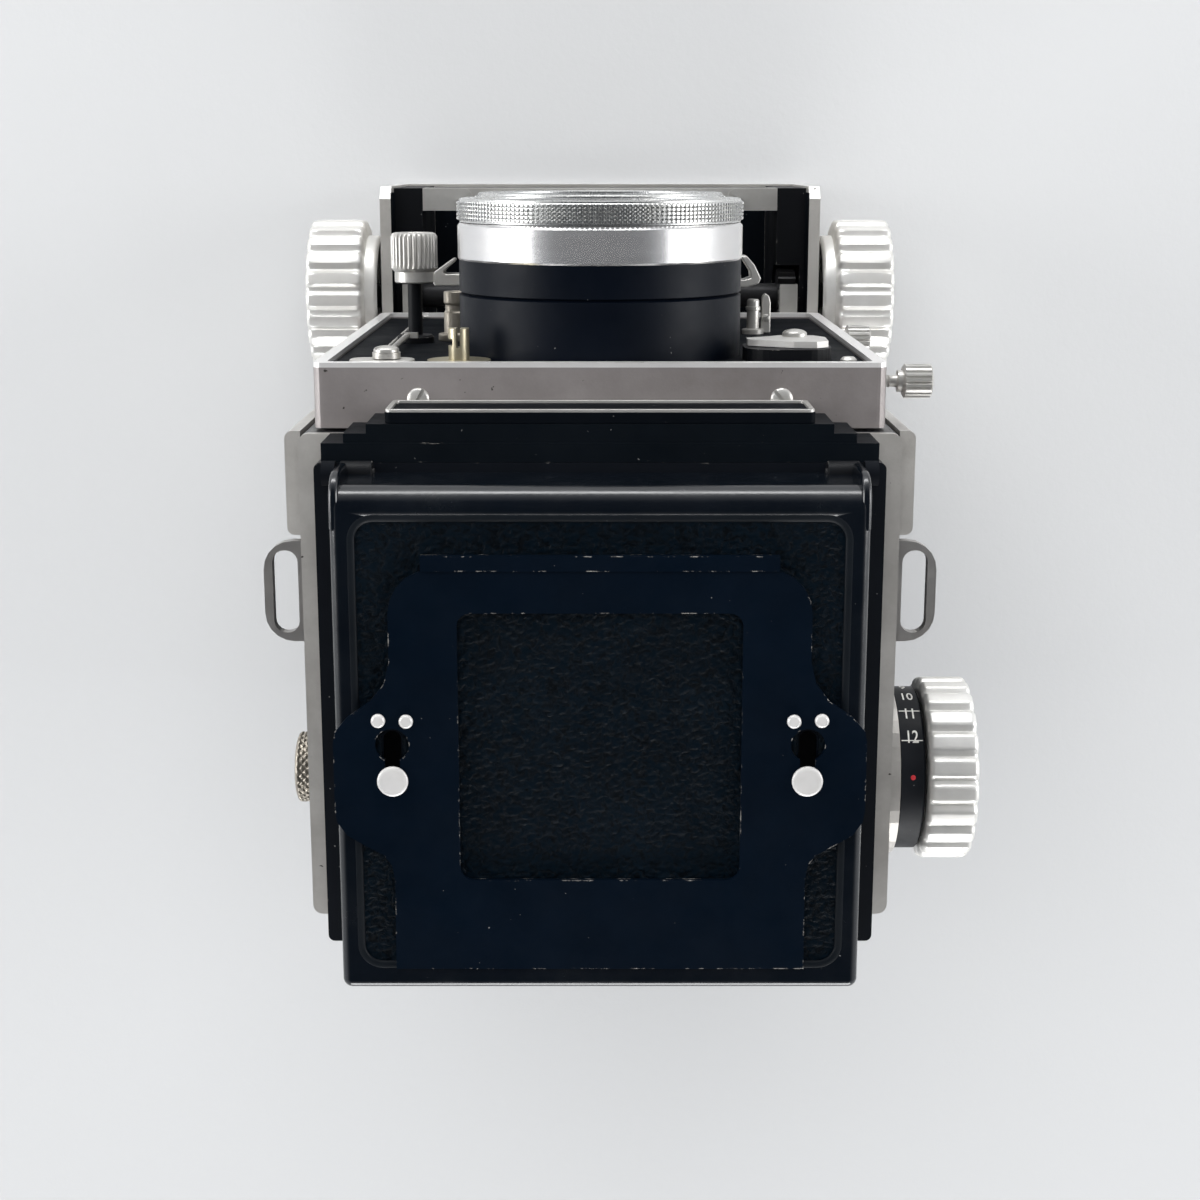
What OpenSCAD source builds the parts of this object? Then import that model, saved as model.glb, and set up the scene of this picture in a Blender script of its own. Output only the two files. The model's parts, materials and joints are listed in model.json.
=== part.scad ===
// Twin lens reflex camera, folded: box body with rear door, sliding lens standard on a
// rack-and-pinion bed, two lenses, and a folding viewing hood. Units are millimetres.
// +Z up (hood on top), -Y is the front (lenses), -X is the photographer's right hand.
// Z = 0 is the underside of the base, and the origin is the mouth of the tripod socket.

/* [Body] */
// Body width, side wall to side wall
body_w = 93; // [84:1:104]
// Body height from the base to the top plate
body_h = 140; // [130:1:150]
// Depth of the body, front face to rear face
body_d = 78.4; // [70:0.2:88]
// Thickness of the cast side walls
wall = 3; // [2:0.5:4]
// Width over the front frame cheeks
cheek_w = 98; // [94:1:104]

/* [Lens standard] */
// Outside width of the lens standard and the focusing bed
std_w = 88.5; // [80:0.5:92]
// Height of the lower edge of the lens standard
std_z0 = 38.3; // [34:0.1:44]
// Height of the upper edge of the lens standard
std_z1 = 137.4; // [130:0.1:139]
// Height of the taking lens axis
take_z = 61.4; // [58:0.1:66]
// Distance between the two lens axes
lens_gap = 50; // [48:0.5:54]
// Outside diameter of the knurled filter rings
ring_d = 47; // [42:0.5:49]

/* [Focusing drive] */
// Height of the focusing shaft
focus_z = 27; // [24:0.5:30]
// Diameter of the focusing knobs
focus_d = 31; // [26:0.5:34]
// Pitch radius of the pinions
pitch_r = 5; // [4.5:0.1:5.5]
// Teeth on each pinion
teeth = 16; // [14:1:18]

/* [Film transport] */
// Height of the take-up spool axis
take_up_z = 118; // [112:0.5:122]
// Height of the supply spool axis
supply_z = 19; // [18:0.5:22]
// Diameter of the film advance knob
advance_d = 31; // [26:0.5:34]

/* [Hood] */
// Width of the hood lid
lid_w = 76.6; // [70:0.2:80]
// Thickness of the folded hood lid
lid_t = 15.2; // [12:0.2:18]
// How far the lid stands past the rear face of the body
lid_over = 1; // [0:0.2:1.4]

/* [Hidden] */
yb = 40;                       // rear face
yf = yb - body_d;              // front face of the body
hw = body_w / 2;
sw = std_w / 2;
view_z = take_z + lens_gap;
fy = -51.7;                    // focusing shaft
sy = 22;                       // spool axes
hy = -34.4;                    // lid hinge
hz = 153.4;                    // and its height
lz0 = 152;                     // lid underside
lz1 = lz0 + lid_t;             // lid rim
rr_r = ring_d / 2;
e = 0.01;                      // overlap of pieces of one solid
release = [-31.6, 118.9];      // pivot of the release lever, X and Z
bail = [33.4, 131.5];          // pivot of the wire bail
knob = [32.4, 92.6];           // stud of the lens release knob
post = [22.2, 129.4];          // brass hook post

// rounded rectangle, corner radii r, four points per corner arc
function arc(cx, cy, r, a0, n = 5) =
  [for (i = [0:n]) [cx + r * cos(a0 + 90 * i / n), cy + r * sin(a0 + 90 * i / n)]];
function rr(x0, y0, x1, y1, r, n = 5) = concat(
  arc(x1 - r, y0 + r, r, -90, n), arc(x1 - r, y1 - r, r, 0, n),
  arc(x0 + r, y1 - r, r, 90, n), arc(x0 + r, y0 + r, r, 180, n));

module box(x0, x1, y0, y1, z0, z1) translate([x0, y0, z0]) cube([x1 - x0, y1 - y0, z1 - z0]);
// cylinder along X from x0 to x1
module cx(r, x0, x1, y, z, n = 48) translate([x0, y, z]) rotate([0, 90, 0])
  cylinder(r = r, h = x1 - x0, $fn = n);
// cylinder along -Y, from y0 (rear) forward by h
module cy(r, y0, h, x, z, n = 64) translate([x, y0, z]) rotate([90, 0, 0])
  cylinder(r = r, h = h, $fn = n);
module cz(r, z0, z1, x, y, n = 48) translate([x, y, z0]) cylinder(r = r, h = z1 - z0, $fn = n);
// a turned piece around an axis along -Y; profile is [radius, forward distance]
module turned(prof, x, y0, z, n = 96) translate([x, y0, z]) rotate([90, 0, 0])
  rotate_extrude($fn = n) polygon(prof);
// the same around +X
module turned_x(prof, x0, y, z, n = 64) translate([x0, y, z]) rotate([0, 90, 0])
  rotate_extrude($fn = n) polygon(prof);
module both() { children(); mirror([1, 0, 0]) children(); }
// slotted cheese head screw, head upwards along +Z
module screw_z(x, y, z, r, h) difference() {
  cz(r, z, z + h, x, y, 32);
  translate([x, y, z + h]) rotate([0, 0, 25]) cube([2.4 * r, 0.5, 0.9 * h], center = true);
}
module screw_y(x, y, z, r, h, a = 30) difference() {
  cy(r, y, h, x, z, 32);
  translate([x, y - h, z]) rotate([0, a, 0]) cube([2.4 * r, 0.9 * h, 0.5], center = true);
}

// ---- body -------------------------------------------------------------------------
// cast body shell with the mirror chamber, the taking chamber and two spool chambers
module body_casting() color([0.09, 0.09, 0.1]) {
  difference() {
    translate([0, 0, 1.6]) linear_extrude(body_h - 3) polygon(rr(-hw, yf, hw, 36.3, 1.6));
    box(-hw + wall, hw - wall, yf + wall, 50, 4.6, body_h - 4);
    // opening behind the bellows, and the rack slots beside it
    box(-35, 35, yf - 1, yf + wall + 1, 41.5, 134);
    both() box(36, 41, yf - 1, yf + wall + 1, 30.6, 37);
    // focusing screen opening
    box(-29, 29, -30, 26, body_h - 5, body_h + 1);
    // shaft bores
    cx(2.55, -hw - 1, -hw + wall + 1, sy, take_up_z);
    cx(2.05, hw - wall - 1, hw + 1, sy, take_up_z);
    cx(2.05, hw - wall - 1, hw + 1, sy, supply_z);
    // tripod bush and latch notch
    cz(7, 0, 6, 0, 0);
    box(-6, 6, 33, 37, 136.4, 140);
  }
  // film gate
  difference() {
    box(-hw + wall - e, hw - wall + e, 31, 33.5, 33.5, 103);
    box(-28, 28, 30, 34, take_z - 28, take_z + 28);
  }
  // partition between the mirror chamber and the taking chamber
  box(-hw + wall - e, hw - wall + e, yf + wall - e, 8, 87.6, 89);
  box(-hw + wall - e, hw - wall + e, 7, 8.4, 87.6, 104.2);
  // spool chambers
  box(-hw + wall - e, hw - wall + e, 7, 8.4, 4.6 - e, 33.5);
  box(-hw + wall - e, hw - wall + e, 7, 33.5, 32.3, 33.5 + e);
  box(-hw + wall - e, hw - wall + e, 8, 33.5, 103, 104.2);
  // spool end rests for the far ends of both spools
  difference() {
    box(-hw + wall - e, -34, 12, 30, supply_z - 7, supply_z + 7);
    cx(2.05, -36, -33, sy, supply_z);
  }
  // door hinge ears
  both() difference() {
    union() {
      box(38.4, 44, 36.2, 38.2, 1.6, 4.6);
      cx(1.55, 38.4, 44, 38.2, 3.1, 32);
    }
    cx(0.8, 38, 45, 38.2, 3.1, 32);
  }
}

// bright top plate with the focusing screen opening
module top_plate() color([0.72, 0.71, 0.68]) difference() {
  translate([0, 0, body_h - 1.4]) linear_extrude(1.4) polygon(rr(-hw, yf, hw, yb, 1.6));
  box(-29, 29, -30, 26, body_h - 5, body_h + 1);
  box(-6.2, 6.2, 35.6, yb + 1, body_h - 3, body_h - 0.5);
}

// base plate with the threaded tripod bush
module base_plate() color([0.1, 0.1, 0.1]) difference() {
  union() {
    linear_extrude(1.6) polygon(rr(-hw, yf, hw, 36.3, 1.6));
    cz(7, 0.8, 4.6, 0, 0);
  }
  cz(2.6, -1, 3.6, 0, 0);
}

// leather on both sides of the body, cut out around the knobs
module side_leather() color([0.05, 0.05, 0.055]) {
  difference() {
    box(-hw - 0.6, -hw, -21, 35.5, 6, 134);
    translate([-hw - 1, 0, 0]) rotate([90, 0, 90]) linear_extrude(2)
      polygon(rr(5, 100.2, 38, 135.8, 14, 8));
  }
  difference() {
    box(hw, hw + 0.6, -21, 35.5, 6, 134);
    cx(6.4, hw - 1, hw + 2, sy, take_up_z);
    cx(6.4, hw - 1, hw + 2, sy, supply_z);
  }
}

// bright cheek plates of the front frame
module front_frame() color([0.72, 0.71, 0.68]) both() difference() {
  linear_extrude(body_h - 3) polygon(concat(
    arc(cheek_w / 2 - 1.2, yf + 1.2, 1.2, -90), arc(cheek_w / 2 - 1.2, -23.2, 1.2, 0),
    [[hw, -22], [hw, yf]]));
  cx(16.1, hw - 2, 52, fy, focus_z, 64);
}

// strap lugs, one on each side
module strap_lugs() color([0.6, 0.58, 0.55]) both() difference() {
  translate([0, 0, 134.8]) linear_extrude(2) polygon(concat([[hw, -4.8]], [[hw, -21]],
    arc(53 - 4.6, -21 + 4.6, 4.6, -90), arc(53 - 4.6, -4.8 - 4.6, 4.6, 0)));
  translate([0, 0, 133.8]) linear_extrude(4) polygon(rr(47.6, -19.5, 51.6, -6.2, 1.9));
}

// stepped black nose block below the name plate
module nose_block() color([0.04, 0.04, 0.05]) {
  box(-41.35, 41.35, -38.5, -35.65, body_h, 151);
  box(-38.05, 38.05, -39.9, -38.45, 138.1, 150.6);
  box(-34.65, 34.65, -41.3, -39.9 + e, 138.1, 150.6);
}

// blank plate with a raised bright border
module nameplate() color([0.7, 0.7, 0.7]) difference() {
  translate([0, -41.3, 0]) rotate([90, 0, 0]) linear_extrude(2.1)
    polygon(rr(-31.95, 138.2, 31.95, 150.2, 1));
  translate([0, -42.9, 0]) rotate([90, 0, 0]) linear_extrude(2)
    polygon(rr(-31.1, 139.1, 31.1, 149.3, 0.6));
}

// ---- viewing system inside the body ---------------------------------------------------
module mirror_glass() color([0.8, 0.85, 0.9])
  translate([0, -9.6, view_z]) rotate([45, 0, 0]) box(-28, 28, -30, 31, -1.4, 0);
module mirror_cradle() color([0.1, 0.1, 0.1])
  translate([0, -9.6, view_z]) rotate([45, 0, 0]) box(-34, 34, -27.4, 31, -3.4, -1.4);
module focusing_screen() color([0.8, 0.85, 0.9, 0.5])
  box(-28.9, 28.9, -29.9, 25.9, body_h - 2.2, body_h - 0.4);

// ---- focusing bed and drive -----------------------------------------------------------
// bright U-shaped bed that carries the standard and the focusing shaft
module focus_bed() color([0.72, 0.71, 0.68]) difference() {
  union() {
    box(-sw, sw, -74, yf, 0, 2.2);
    both() box(sw - 2.2, sw, -74, yf, 0, 38);
  }
  cx(2.55, -60, 60, fy, focus_z);
  both() translate([0, -74, 38]) rotate([0, 90, 0]) cylinder(r = 2.4, h = 60, $fn = 4);
}
// black guide rails, cleared for the pinions, and the shaft bushes outside the bed walls
module guide_rails() color([0.05, 0.05, 0.05]) both() {
  difference() {
    box(36.2, sw - 2.2, -73.6, yf, 2.2, 31);
    cx(6.4, 36, 41, fy, focus_z);
    box(36, 41, fy - 6.4, fy + 6.4, focus_z, 32);
    cx(2.6, 40, 44, fy, focus_z);
  }
  difference() {
    cx(8, sw, 45, fy, focus_z);
    cx(2.55, sw - 1, 48, fy, focus_z);
  }
}
// cross bar between the rails
module bed_bar() color([0.55, 0.55, 0.54]) {
  box(-36.2, 36.2, -73.6, -69.1, 24, 31);
  both() screw_z(28, -71.6, 31, 2, 0.7);
}
// one shaft through both knobs, with its two pinions
module focus_shaft() color([0.6, 0.6, 0.6]) {
  cx(2.5, -56.1, 56.1, fy, focus_z);
  both() translate([36.7, fy, focus_z]) rotate([90, 0, 90]) linear_extrude(3.6) polygon(
    [for (i = [0:teeth - 1]) for (q = [[-0.27, -0.85], [-0.12, 0.42], [0.12, 0.42], [0.27, -0.85]])
      let (a = 90 + (i + q[0]) * 360 / teeth) [(pitch_r + q[1]) * cos(a), (pitch_r + q[1]) * sin(a)]]);
}
module focus_knob() {
  difference() {
    turned_x([[0, 10.9], [2.5, 10.9], [2.5, 0], [11.6, 0], [12.2, 0.5], [12.2, 2.6], [14.6, 2.6],
      [focus_d / 2, 3.5], [focus_d / 2, 13.1], [focus_d / 2 - 0.9, 14], [12.8, 14], [12.4, 13.6],
      [0, 13.6]], 45.2, fy, focus_z, 96);
    for (i = [0:21]) translate([47.4, fy, focus_z]) rotate([i * 360 / 22, 0, 0])
      translate([0, 0, focus_d / 2 + 0.95]) rotate([0, 90, 0]) cylinder(r = 1.9, h = 13, $fn = 24);
  }
}
module focus_knobs() color([0.85, 0.84, 0.8]) both() focus_knob();

// ---- lens standard ------------------------------------------------------------------
// bright frame that carries both lenses
module front_standard() color([0.72, 0.71, 0.68]) difference() {
  translate([0, -38.9, 0]) rotate([90, 0, 0]) linear_extrude(10.1)
    polygon(rr(-sw, std_z0, sw, std_z1, 1.5));
  translate([0, -40.4, 0]) rotate([90, 0, 0]) linear_extrude(10) polygon(
    rr(-sw + 2, std_z0 + 2, sw - 2, std_z1 - 2, 1));
  box(-36, 36, -42, -38, 41.3, 134.2);
  both() cz(1.4, 130, 140, 28, -43.4, 24);
  for (z = [60, 132]) cx(1.02, -46, -40, -45.6, z, 24);
}
// toothed racks behind the standard, one on each side
module racks() color([0.6, 0.6, 0.6]) both() union() {
  translate([36.7, 0, 0]) rotate([90, 0, 90]) linear_extrude(3.6) polygon(concat(
    [[-4, 35.6], [-54.5, 35.6]],
    [for (i = [-1:23]) for (q = [[-0.27, 0.85], [-0.15, -0.42], [0.15, -0.42], [0.27, 0.85]])
      [fy + (i + 0.5 + q[0]) * 2 * PI * pitch_r / teeth, focus_z + pitch_r + q[1]]]));
  box(36.7, 40.3, -48.8, -39.2, 35.5, std_z0);
}
// black lens board
module lens_board() color([0.06, 0.06, 0.07]) difference() {
  translate([0, -46, 0]) rotate([90, 0, 0]) linear_extrude(2) polygon(
    rr(-sw + 2.1, std_z0 + 2.1, sw - 2.1, std_z1 - 2.1, 1));
  cy(20, -45, 4, 0, view_z);
  cy(17.5, -45, 4, 0, take_z);
}
// black viewing lens barrel
module viewing_barrel() color([0.04, 0.04, 0.05]) {
  turned([[17.5, -4], [20, -4], [20, 2], [23.2, 2], [23.2, 11.8], [22.7, 12.1], [23.2, 12.4],
    [23.2, 17.5], [19, 17.5], [17.5, 14]], 0, -46, view_z);
}
// chromed band in front of the viewing barrel
module viewing_band() color([0.85, 0.85, 0.85])
  turned([[19, 0], [23.2, 0], [23.4, 0.3], [23.4, 5.4], [23.0, 5.9], [19, 5.9]], 0, -63.5, view_z);
module grip_ring(z) difference() {
  turned([[20.6, 0], [rr_r - 0.5, 0], [rr_r, 0.4], [rr_r, 3.5], [rr_r - 0.5, 3.9],
    [21.4, 3.9]], 0, -69.4, z);
  for (i = [0:47]) translate([0, -69.4, z]) rotate([0, i * 7.5, 0]) translate([rr_r + 0.18, -0.6, 0])
    rotate([90, 0, 0]) cylinder(r = 0.5, h = 2.7, $fn = 16);
}
// knurled filter rings of both lenses
module filter_rings() color([0.75, 0.75, 0.74]) { grip_ring(view_z); grip_ring(take_z); }
// a lens element, thicker in the middle
module element(r, y, z) turned([[0, -2.6], [r, 0], [r, 2], [r * 0.75, 3.3], [r * 0.4, 4.3],
  [0, 4.7]], 0, y, z);
module lens_glass() color([0.6, 0.7, 0.85, 0.4]) {
  element(17.5, -55, view_z);
  element(13, -57, take_z);
}
// shutter body of the taking lens, and the pad under the release lever
module shutter_housing() color([0.05, 0.05, 0.06]) {
  difference() {
    translate([0, -48, 0]) rotate([90, 0, 0]) linear_extrude(2.3)
      polygon(rr(-36.8, 116.8, -23, 130.6, 4.6, 7));
    cy(1.5, -47.5, 4, release[0], release[1], 24);
  }
  turned([[15, -4], [17.5, -4], [17.5, 2], [20, 2], [20, 3.4], [24.6, 3.4], [25, 3.8], [25, 9.2],
    [24.6, 9.6],
    [15, 9.6]], 0, -46, take_z);
}
// bright speed ring around the front of the shutter
module speed_ring() color([0.7, 0.7, 0.7])
  turned([[20.05, 0], [24.4, 0], [24.8, 0.4], [24.8, 3.4], [24.4, 3.8],
    [20.05, 3.8]], 0, -55.7, take_z);
// front barrel of the taking lens
module taking_barrel() color([0.04, 0.04, 0.05])
  turned([[13, 0], [20, 0], [20, 4.2], [22.6, 4.2], [23, 4.6], [23, 13.8], [20, 13.8], [18, 10],
    [15, 6],
    [13, 4]], 0, -55.6, take_z);
// a short ring segment with an arm and a finger tab; ang turns it about the taking axis
module ring_lever(ang, side, y0, t, r1, tab) translate([0, 0, take_z]) rotate([0, ang, 0]) {
  intersection() {
    turned([[25.3, 0], [26.8, 0], [26.8, t], [25.3, t]], 0, y0, 0);
    box(side > 0 ? 0 : -40, side > 0 ? 40 : 0, -70, -40, -9, 9);
  }
  box(side > 0 ? 26.2 : -r1, side > 0 ? r1 : -26.2, y0 - t, y0, -1.6, 1.6);
  box(side > 0 ? r1 - 1.2 : -r1, side > 0 ? r1 : -r1 + 1.2, y0 - tab, y0, -2.2, 2.2);
}
// lever that cocks the shutter
module cocking_lever() color([0.75, 0.75, 0.74]) ring_lever(25, -1, -56.4, 1.8, 32, 6);
// aperture pointer on the other side
module aperture_lever() color([0.75, 0.75, 0.74]) ring_lever(-10, 1, -56.2, 1.4, 31.4, 5.2);
// sync socket, and the stop post of the cocking lever on the other side
module sync_socket() color([0.72, 0.72, 0.7]) {
  cy(3.2, -48, 1.3, 25.5, 88.4, 32);
  difference() {
    cy(2.2, -49.2, 7.4, 25.5, 88.4, 32);
    cy(1.2, -54, 4, 25.5, 88.4, 24);
  }
  cy(2, -48, 0.9, -28.2, 75, 32);
  cy(1.15, -48.8, 5.5, -28.2, 75, 24);
}
// bright lever of the release linkage
module release_lever() color([0.78, 0.78, 0.77]) difference() {
  translate([0, -50.4, 0]) rotate([90, 0, 0]) linear_extrude(1) polygon(
    [[-36.4, 120.4], [-34.8, 117.4], [-32, 116.4], [-29.4, 117], [-26.4, 119.6], [-23.6, 121.4],
     [-23.6, 124.2], [-27, 126.4], [-30.6, 128.4], [-34.2, 129], [-36.2, 127]]);
  cy(1.5, -48, 5, release[0], release[1], 24);
}
// fixed studs, screws and the bail plate of the standard
module board_fittings() color([0.7, 0.7, 0.7]) {
  both() {
    screw_z(28, -43.4, std_z1, 1.75, 0.6);
    cz(1.4, std_z1 - 2, std_z1 + 0.2, 28, -43.4, 24);
  }
  cy(1.45, -48, 3.5, release[0], release[1], 24);
  screw_y(release[0], -51.5, release[1], 2, 1.1);
  cy(3.2, -48, 1.4, knob[0], knob[1], 32);
  cy(1.25, -49.3, 16.6, knob[0], knob[1], 24);
  translate([0, -48, 0]) rotate([90, 0, 0]) linear_extrude(1) polygon(rr(29, 128.6, 39.2, 134.4, 2.4));
  cy(1, -48.9, 1.3, bail[0], bail[1], 24);
  screw_y(bail[0], -50.15, bail[1], 2, 0.9);
}
// knurled lens release knob on the board
module bail_knob() color([0.7, 0.69, 0.66]) difference() {
  turned([[1.3, 0], [3.5, 0], [3.5, 3.4], [3.9, 3.7], [4.1, 4], [4.1, 9.6], [3.7, 10.1], [1.3, 10.1]],
    knob[0], -56.9, knob[1], 48);
  for (i = [0:23]) translate([knob[0], -60.4, knob[1]]) rotate([0, i * 15, 0]) translate([4.25, 0, 0])
    rotate([90, 0, 0]) cylinder(r = 0.3, h = 6.4, $fn = 16);
}
// wire bail that holds the lens unit on the board
module lens_bail() color([0.6, 0.6, 0.6]) difference() {
  union() {
    cz(0.5, 97.4, 130.5, bail[0], -49.65, 24);
    cy(2.2, -49.15, 0.9, bail[0], bail[1], 32);
    box(31.6, 33.9, -50.1, -49.2, 96.6, 98);
  }
  cy(1.05, -48, 5, bail[0], bail[1], 24);
}
// brass hook post on a flange
module hook_post() color([0.8, 0.68, 0.42]) {
  cy(5, -48, 0.7, post[0], post[1], 48);
  difference() {
    cy(1.65, -48.7, 4.9, post[0], post[1], 32);
    box(post[0] - 0.3, post[0] + 0.3, -54, -50.6, post[1] - 2, post[1] + 2);
    box(post[0] + 0.9, post[0] + 2, -52, -50.9, post[1] - 2, post[1] + 2);
  }
}
// thumbscrews through the side wall of the standard
module thumb(z) {
  cx(1, -47.8, -42.2, -45.6, z, 24);
  difference() {
    turned_x([[0, 0], [2.4, 0], [2.7, 0.3], [2.7, 4.3], [2.4, 4.6], [0, 4.6]], -51.9, -45.6, z, 32);
    for (i = [0:11]) translate([-52.2, -45.6, z]) rotate([i * 30, 0, 0]) translate([0, 0, 2.85])
      rotate([0, 90, 0]) cylinder(r = 0.45, h = 5.2, $fn = 16);
  }
}
module thumbscrew() color([0.72, 0.71, 0.68]) thumb(132);
module thumbscrew_lower() color([0.72, 0.71, 0.68]) thumb(60);
// pleated bellows between the standard and the body
module bellows() color([0.05, 0.05, 0.05]) difference() {
  box(-34.7, 34.7, -45.9, -35.6, 41.8, 133.7);
  box(-31.5, 31.5, -47, -33, 43.1, 132.4);
}

// ---- film transport ------------------------------------------------------------------
module spool(z) {
  difference() {
    union() {
      cx(12.2, -32.8, -31.8, sy, z, 64);
      cx(12.2, 31.8, 32.8, sy, z, 64);
      cx(5.4, -32.8, 32.8, sy, z, 48);
    }
    cx(2.55, -33, -28, sy, z);
    cx(2.05, 28, 33, sy, z);
    box(-25, 25, sy - 8, sy + 8, z - 0.7, z + 0.7);
  }
}
module takeup_spool() color([0.12, 0.12, 0.12]) spool(take_up_z);
module supply_spool() color([0.12, 0.12, 0.12]) spool(supply_z);
module pull_knob(z) {
  cx(2, 28.6, 47, sy, z);
  difference() {
    turned_x([[0, 0], [5.4, 0], [6, 0.4], [6, 4.4], [5.5, 4.8], [0, 4.8]], 46.7, sy, z, 48);
    for (i = [0:29]) translate([47, sy, z]) rotate([i * 12, 0, 0]) translate([0, 0, 6.2])
      rotate([0, 90, 0]) cylinder(r = 0.4, h = 4.2, $fn = 16);
  }
}
module spool_knob_upper() color([0.35, 0.33, 0.3]) pull_knob(take_up_z);
module spool_knob_lower() color([0.35, 0.33, 0.3]) pull_knob(supply_z);
// oval housing under the advance knob
module advance_housing() color([0.72, 0.71, 0.68]) difference() {
  translate([-49.2, 0, 0]) rotate([90, 0, 90]) linear_extrude(2.7) polygon(
    rr(7.6, take_up_z - 15.2, 36.1, take_up_z + 15.2, 13.6, 9));
  cx(2.55, -53, -46, sy, take_up_z);
}
// exposure counter disc
module counter_dial() color([0.03, 0.03, 0.03])
  turned_x([[2.55, 0], [13.3, 0], [13.75, 0.4], [13.75, 4], [13.3, 4.3], [2.55, 4.3]],
    -53.6, sy, take_up_z, 96);
module advance_knob() color([0.85, 0.84, 0.8]) {
  difference() {
    turned_x([[0, 0.4], [12.4, 0.4], [12.8, 0], [14.6, 0], [advance_d / 2, 0.9], [advance_d / 2, 7.5],
      [14.6, 8.3], [0, 8.3]], -62.2, sy, take_up_z, 96);
    for (i = [0:21]) translate([-63, sy, take_up_z]) rotate([i * 360 / 22, 0, 0])
      translate([0, 0, advance_d / 2 + 0.95]) rotate([0, 90, 0]) cylinder(r = 1.9, h = 12, $fn = 24);
  }
  cx(2.5, -58, -28.4, sy, take_up_z);
}
// film rollers above and below the gate, and the stub that carries the supply spool
module film_rollers() color([0.7, 0.7, 0.7]) {
  cx(2.5, -34, -28.6, sy, supply_z);
  cx(2.05, -36, -33.5, sy, supply_z);
  cx(1.9, -33, 33, 31.6, 30, 32);
  cx(1.9, -33, 33, 31.6, 106.6, 32);
  both() { box(32.9, 43.5, 30, 33.2, 28.5, 31.5); box(32.9, 43.5, 30, 33.2, 105.2, 108.2); }
}

// ---- rear door -----------------------------------------------------------------------
module rear_door() color([0.09, 0.09, 0.1]) {
  difference() {
    translate([0, 0, 5.6]) linear_extrude(132.4) polygon(rr(-hw, 36.5, hw, yb - 0.5, 1.2));
    box(-40, 40, 36, 38, 26, 97);
    box(-5, 5, 36, 38.2, 117, 139);
    box(-3.2, 3.2, 37, 41, 118, 126);
  }
  difference() {
    union() {
      box(-38, 38, 37.3, 39.1, 3, 6);
      cx(1.55, -38, 38, 38.2, 3.1, 32);
    }
    cx(0.85, -39, 39, 38.2, 3.1, 32);
  }
}
module rear_leather() color([0.05, 0.05, 0.055]) difference() {
  box(-44, 44, yb - 0.5, yb, 9, 135);
  box(-7, 7, yb - 1, yb + 1, 112, 132);
}
// film pressure plate on its two leaf springs
module pressure_plate() color([0.15, 0.15, 0.15]) {
  box(-31, 31, 34.2, 35.2, 28, 95);
  for (z = [42, 80]) box(-18, 18, 35.1, 38, z - 2, z + 2);
}
// sliding catch at the top of the door
module door_latch() color([0.72, 0.71, 0.68]) {
  box(-2.9, 2.9, 36.8, 39.8, 120.2, 124);
  box(-4.6, 4.6, 36.8, 37.9, 119.6, 137.4);
  box(-5, 5, 39.6, yb, 119, 125);
}

// ---- viewing hood ----------------------------------------------------------------------
module hood_base() color([0.03, 0.03, 0.04]) {
  difference() {
    translate([0, 0, body_h]) linear_extrude(11.2) polygon(rr(-42.5, -35.6, 42.5, yb, 1));
    box(-39.4, 39.4, -33.2, 37.8, body_h + 0.8, 153);
    box(-27, 27, -28, 24, body_h - 1, 153);
  }
  both() difference() {
    union() {
      box(38.9, 40.9, -35.5, -32.4, body_h, hz);
      cx(1.85, 38.9, 40.9, hy, hz, 32);
    }
    cx(0.8, 38, 42, hy, hz, 32);
  }
}
// pins of the lid, the flaps and the rear door
module hinge_pins() color([0.6, 0.6, 0.6]) {
  cx(0.8, -44, 44, 38.2, 3.1, 32);
  both() cx(0.8, 33.2, 40.9, hy, hz, 32);
  both() translate([37.2, 37.8, 146.8]) rotate([90, 0, 0]) cylinder(r = 0.5, h = 71, $fn = 32);
  cx(0.5, -39.4, 39.4, 35.9, 143.6, 32);
}
// profile of the lid seen from the side, with a rounded front edge
function lid_side() = concat([[yb + lid_over, lz0]],
  arc(yb + lid_over - 1.4, lz1 - 1.4, 1.4, 0, 4),
  arc(-28.5, lz1 - 6, 6, 90, 8), [[-34.5, lz0]]);
module hood_lid() color([0.03, 0.03, 0.04]) {
  difference() {
    union() {
      translate([-lid_w / 2, 0, 0]) rotate([90, 0, 90]) linear_extrude(lid_w) polygon(lid_side());
      both() cx(1.85, 33.4, 38.3, hy, hz, 32);
      both() translate([37.2, 0, 0]) rotate([90, 0, 90]) linear_extrude(1.1) polygon(concat(
        [[-28, 154.4], [-28, lz1 - 0.1]], arc(-32.4, lz1 - 4.1, 4, 90, 6), [[-36.4, 156], [-35.4, 154.4]]));
    }
    box(-lid_w / 2 + 1.8, lid_w / 2 - 1.8, -29.4, 38.2, 150, lz1 - 2.6);
    box(-33, 33, -32.5, -29, 150, lz1 - 5);
    // recess for the leather
    translate([0, 0, lz1 - 0.9]) linear_extrude(2) polygon(rr(-35.6, -30.4, 35.6, 37.4, 1));
    // hinge bores and slots for the plate studs
    both() cx(0.85, 32, 40, hy, hz, 32);
    both() translate([0, 0, 160]) linear_extrude(10) polygon(rr(28.8, 1.2, 31.4, 9.8, 1.25));
    // finger notch at the rear
    box(-8, 8, 37, 43, 150, 153.6);
  }
  both() box(9.9, 11.6, 23.6, 27.6, 160.6, lz1 - 2.5);
  cx(0.5, -11.6, 11.6, 25.6, 162.4, 32);
}
module lid_leather() color([0.05, 0.05, 0.055]) difference() {
  translate([0, 0, lz1 - 0.9]) linear_extrude(0.6) polygon(rr(-35.4, -30.2, 35.4, 37.2, 1));
  both() translate([0, 0, 160]) linear_extrude(10) polygon(rr(28.6, 1, 31.6, 10, 1.4));
}
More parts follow.
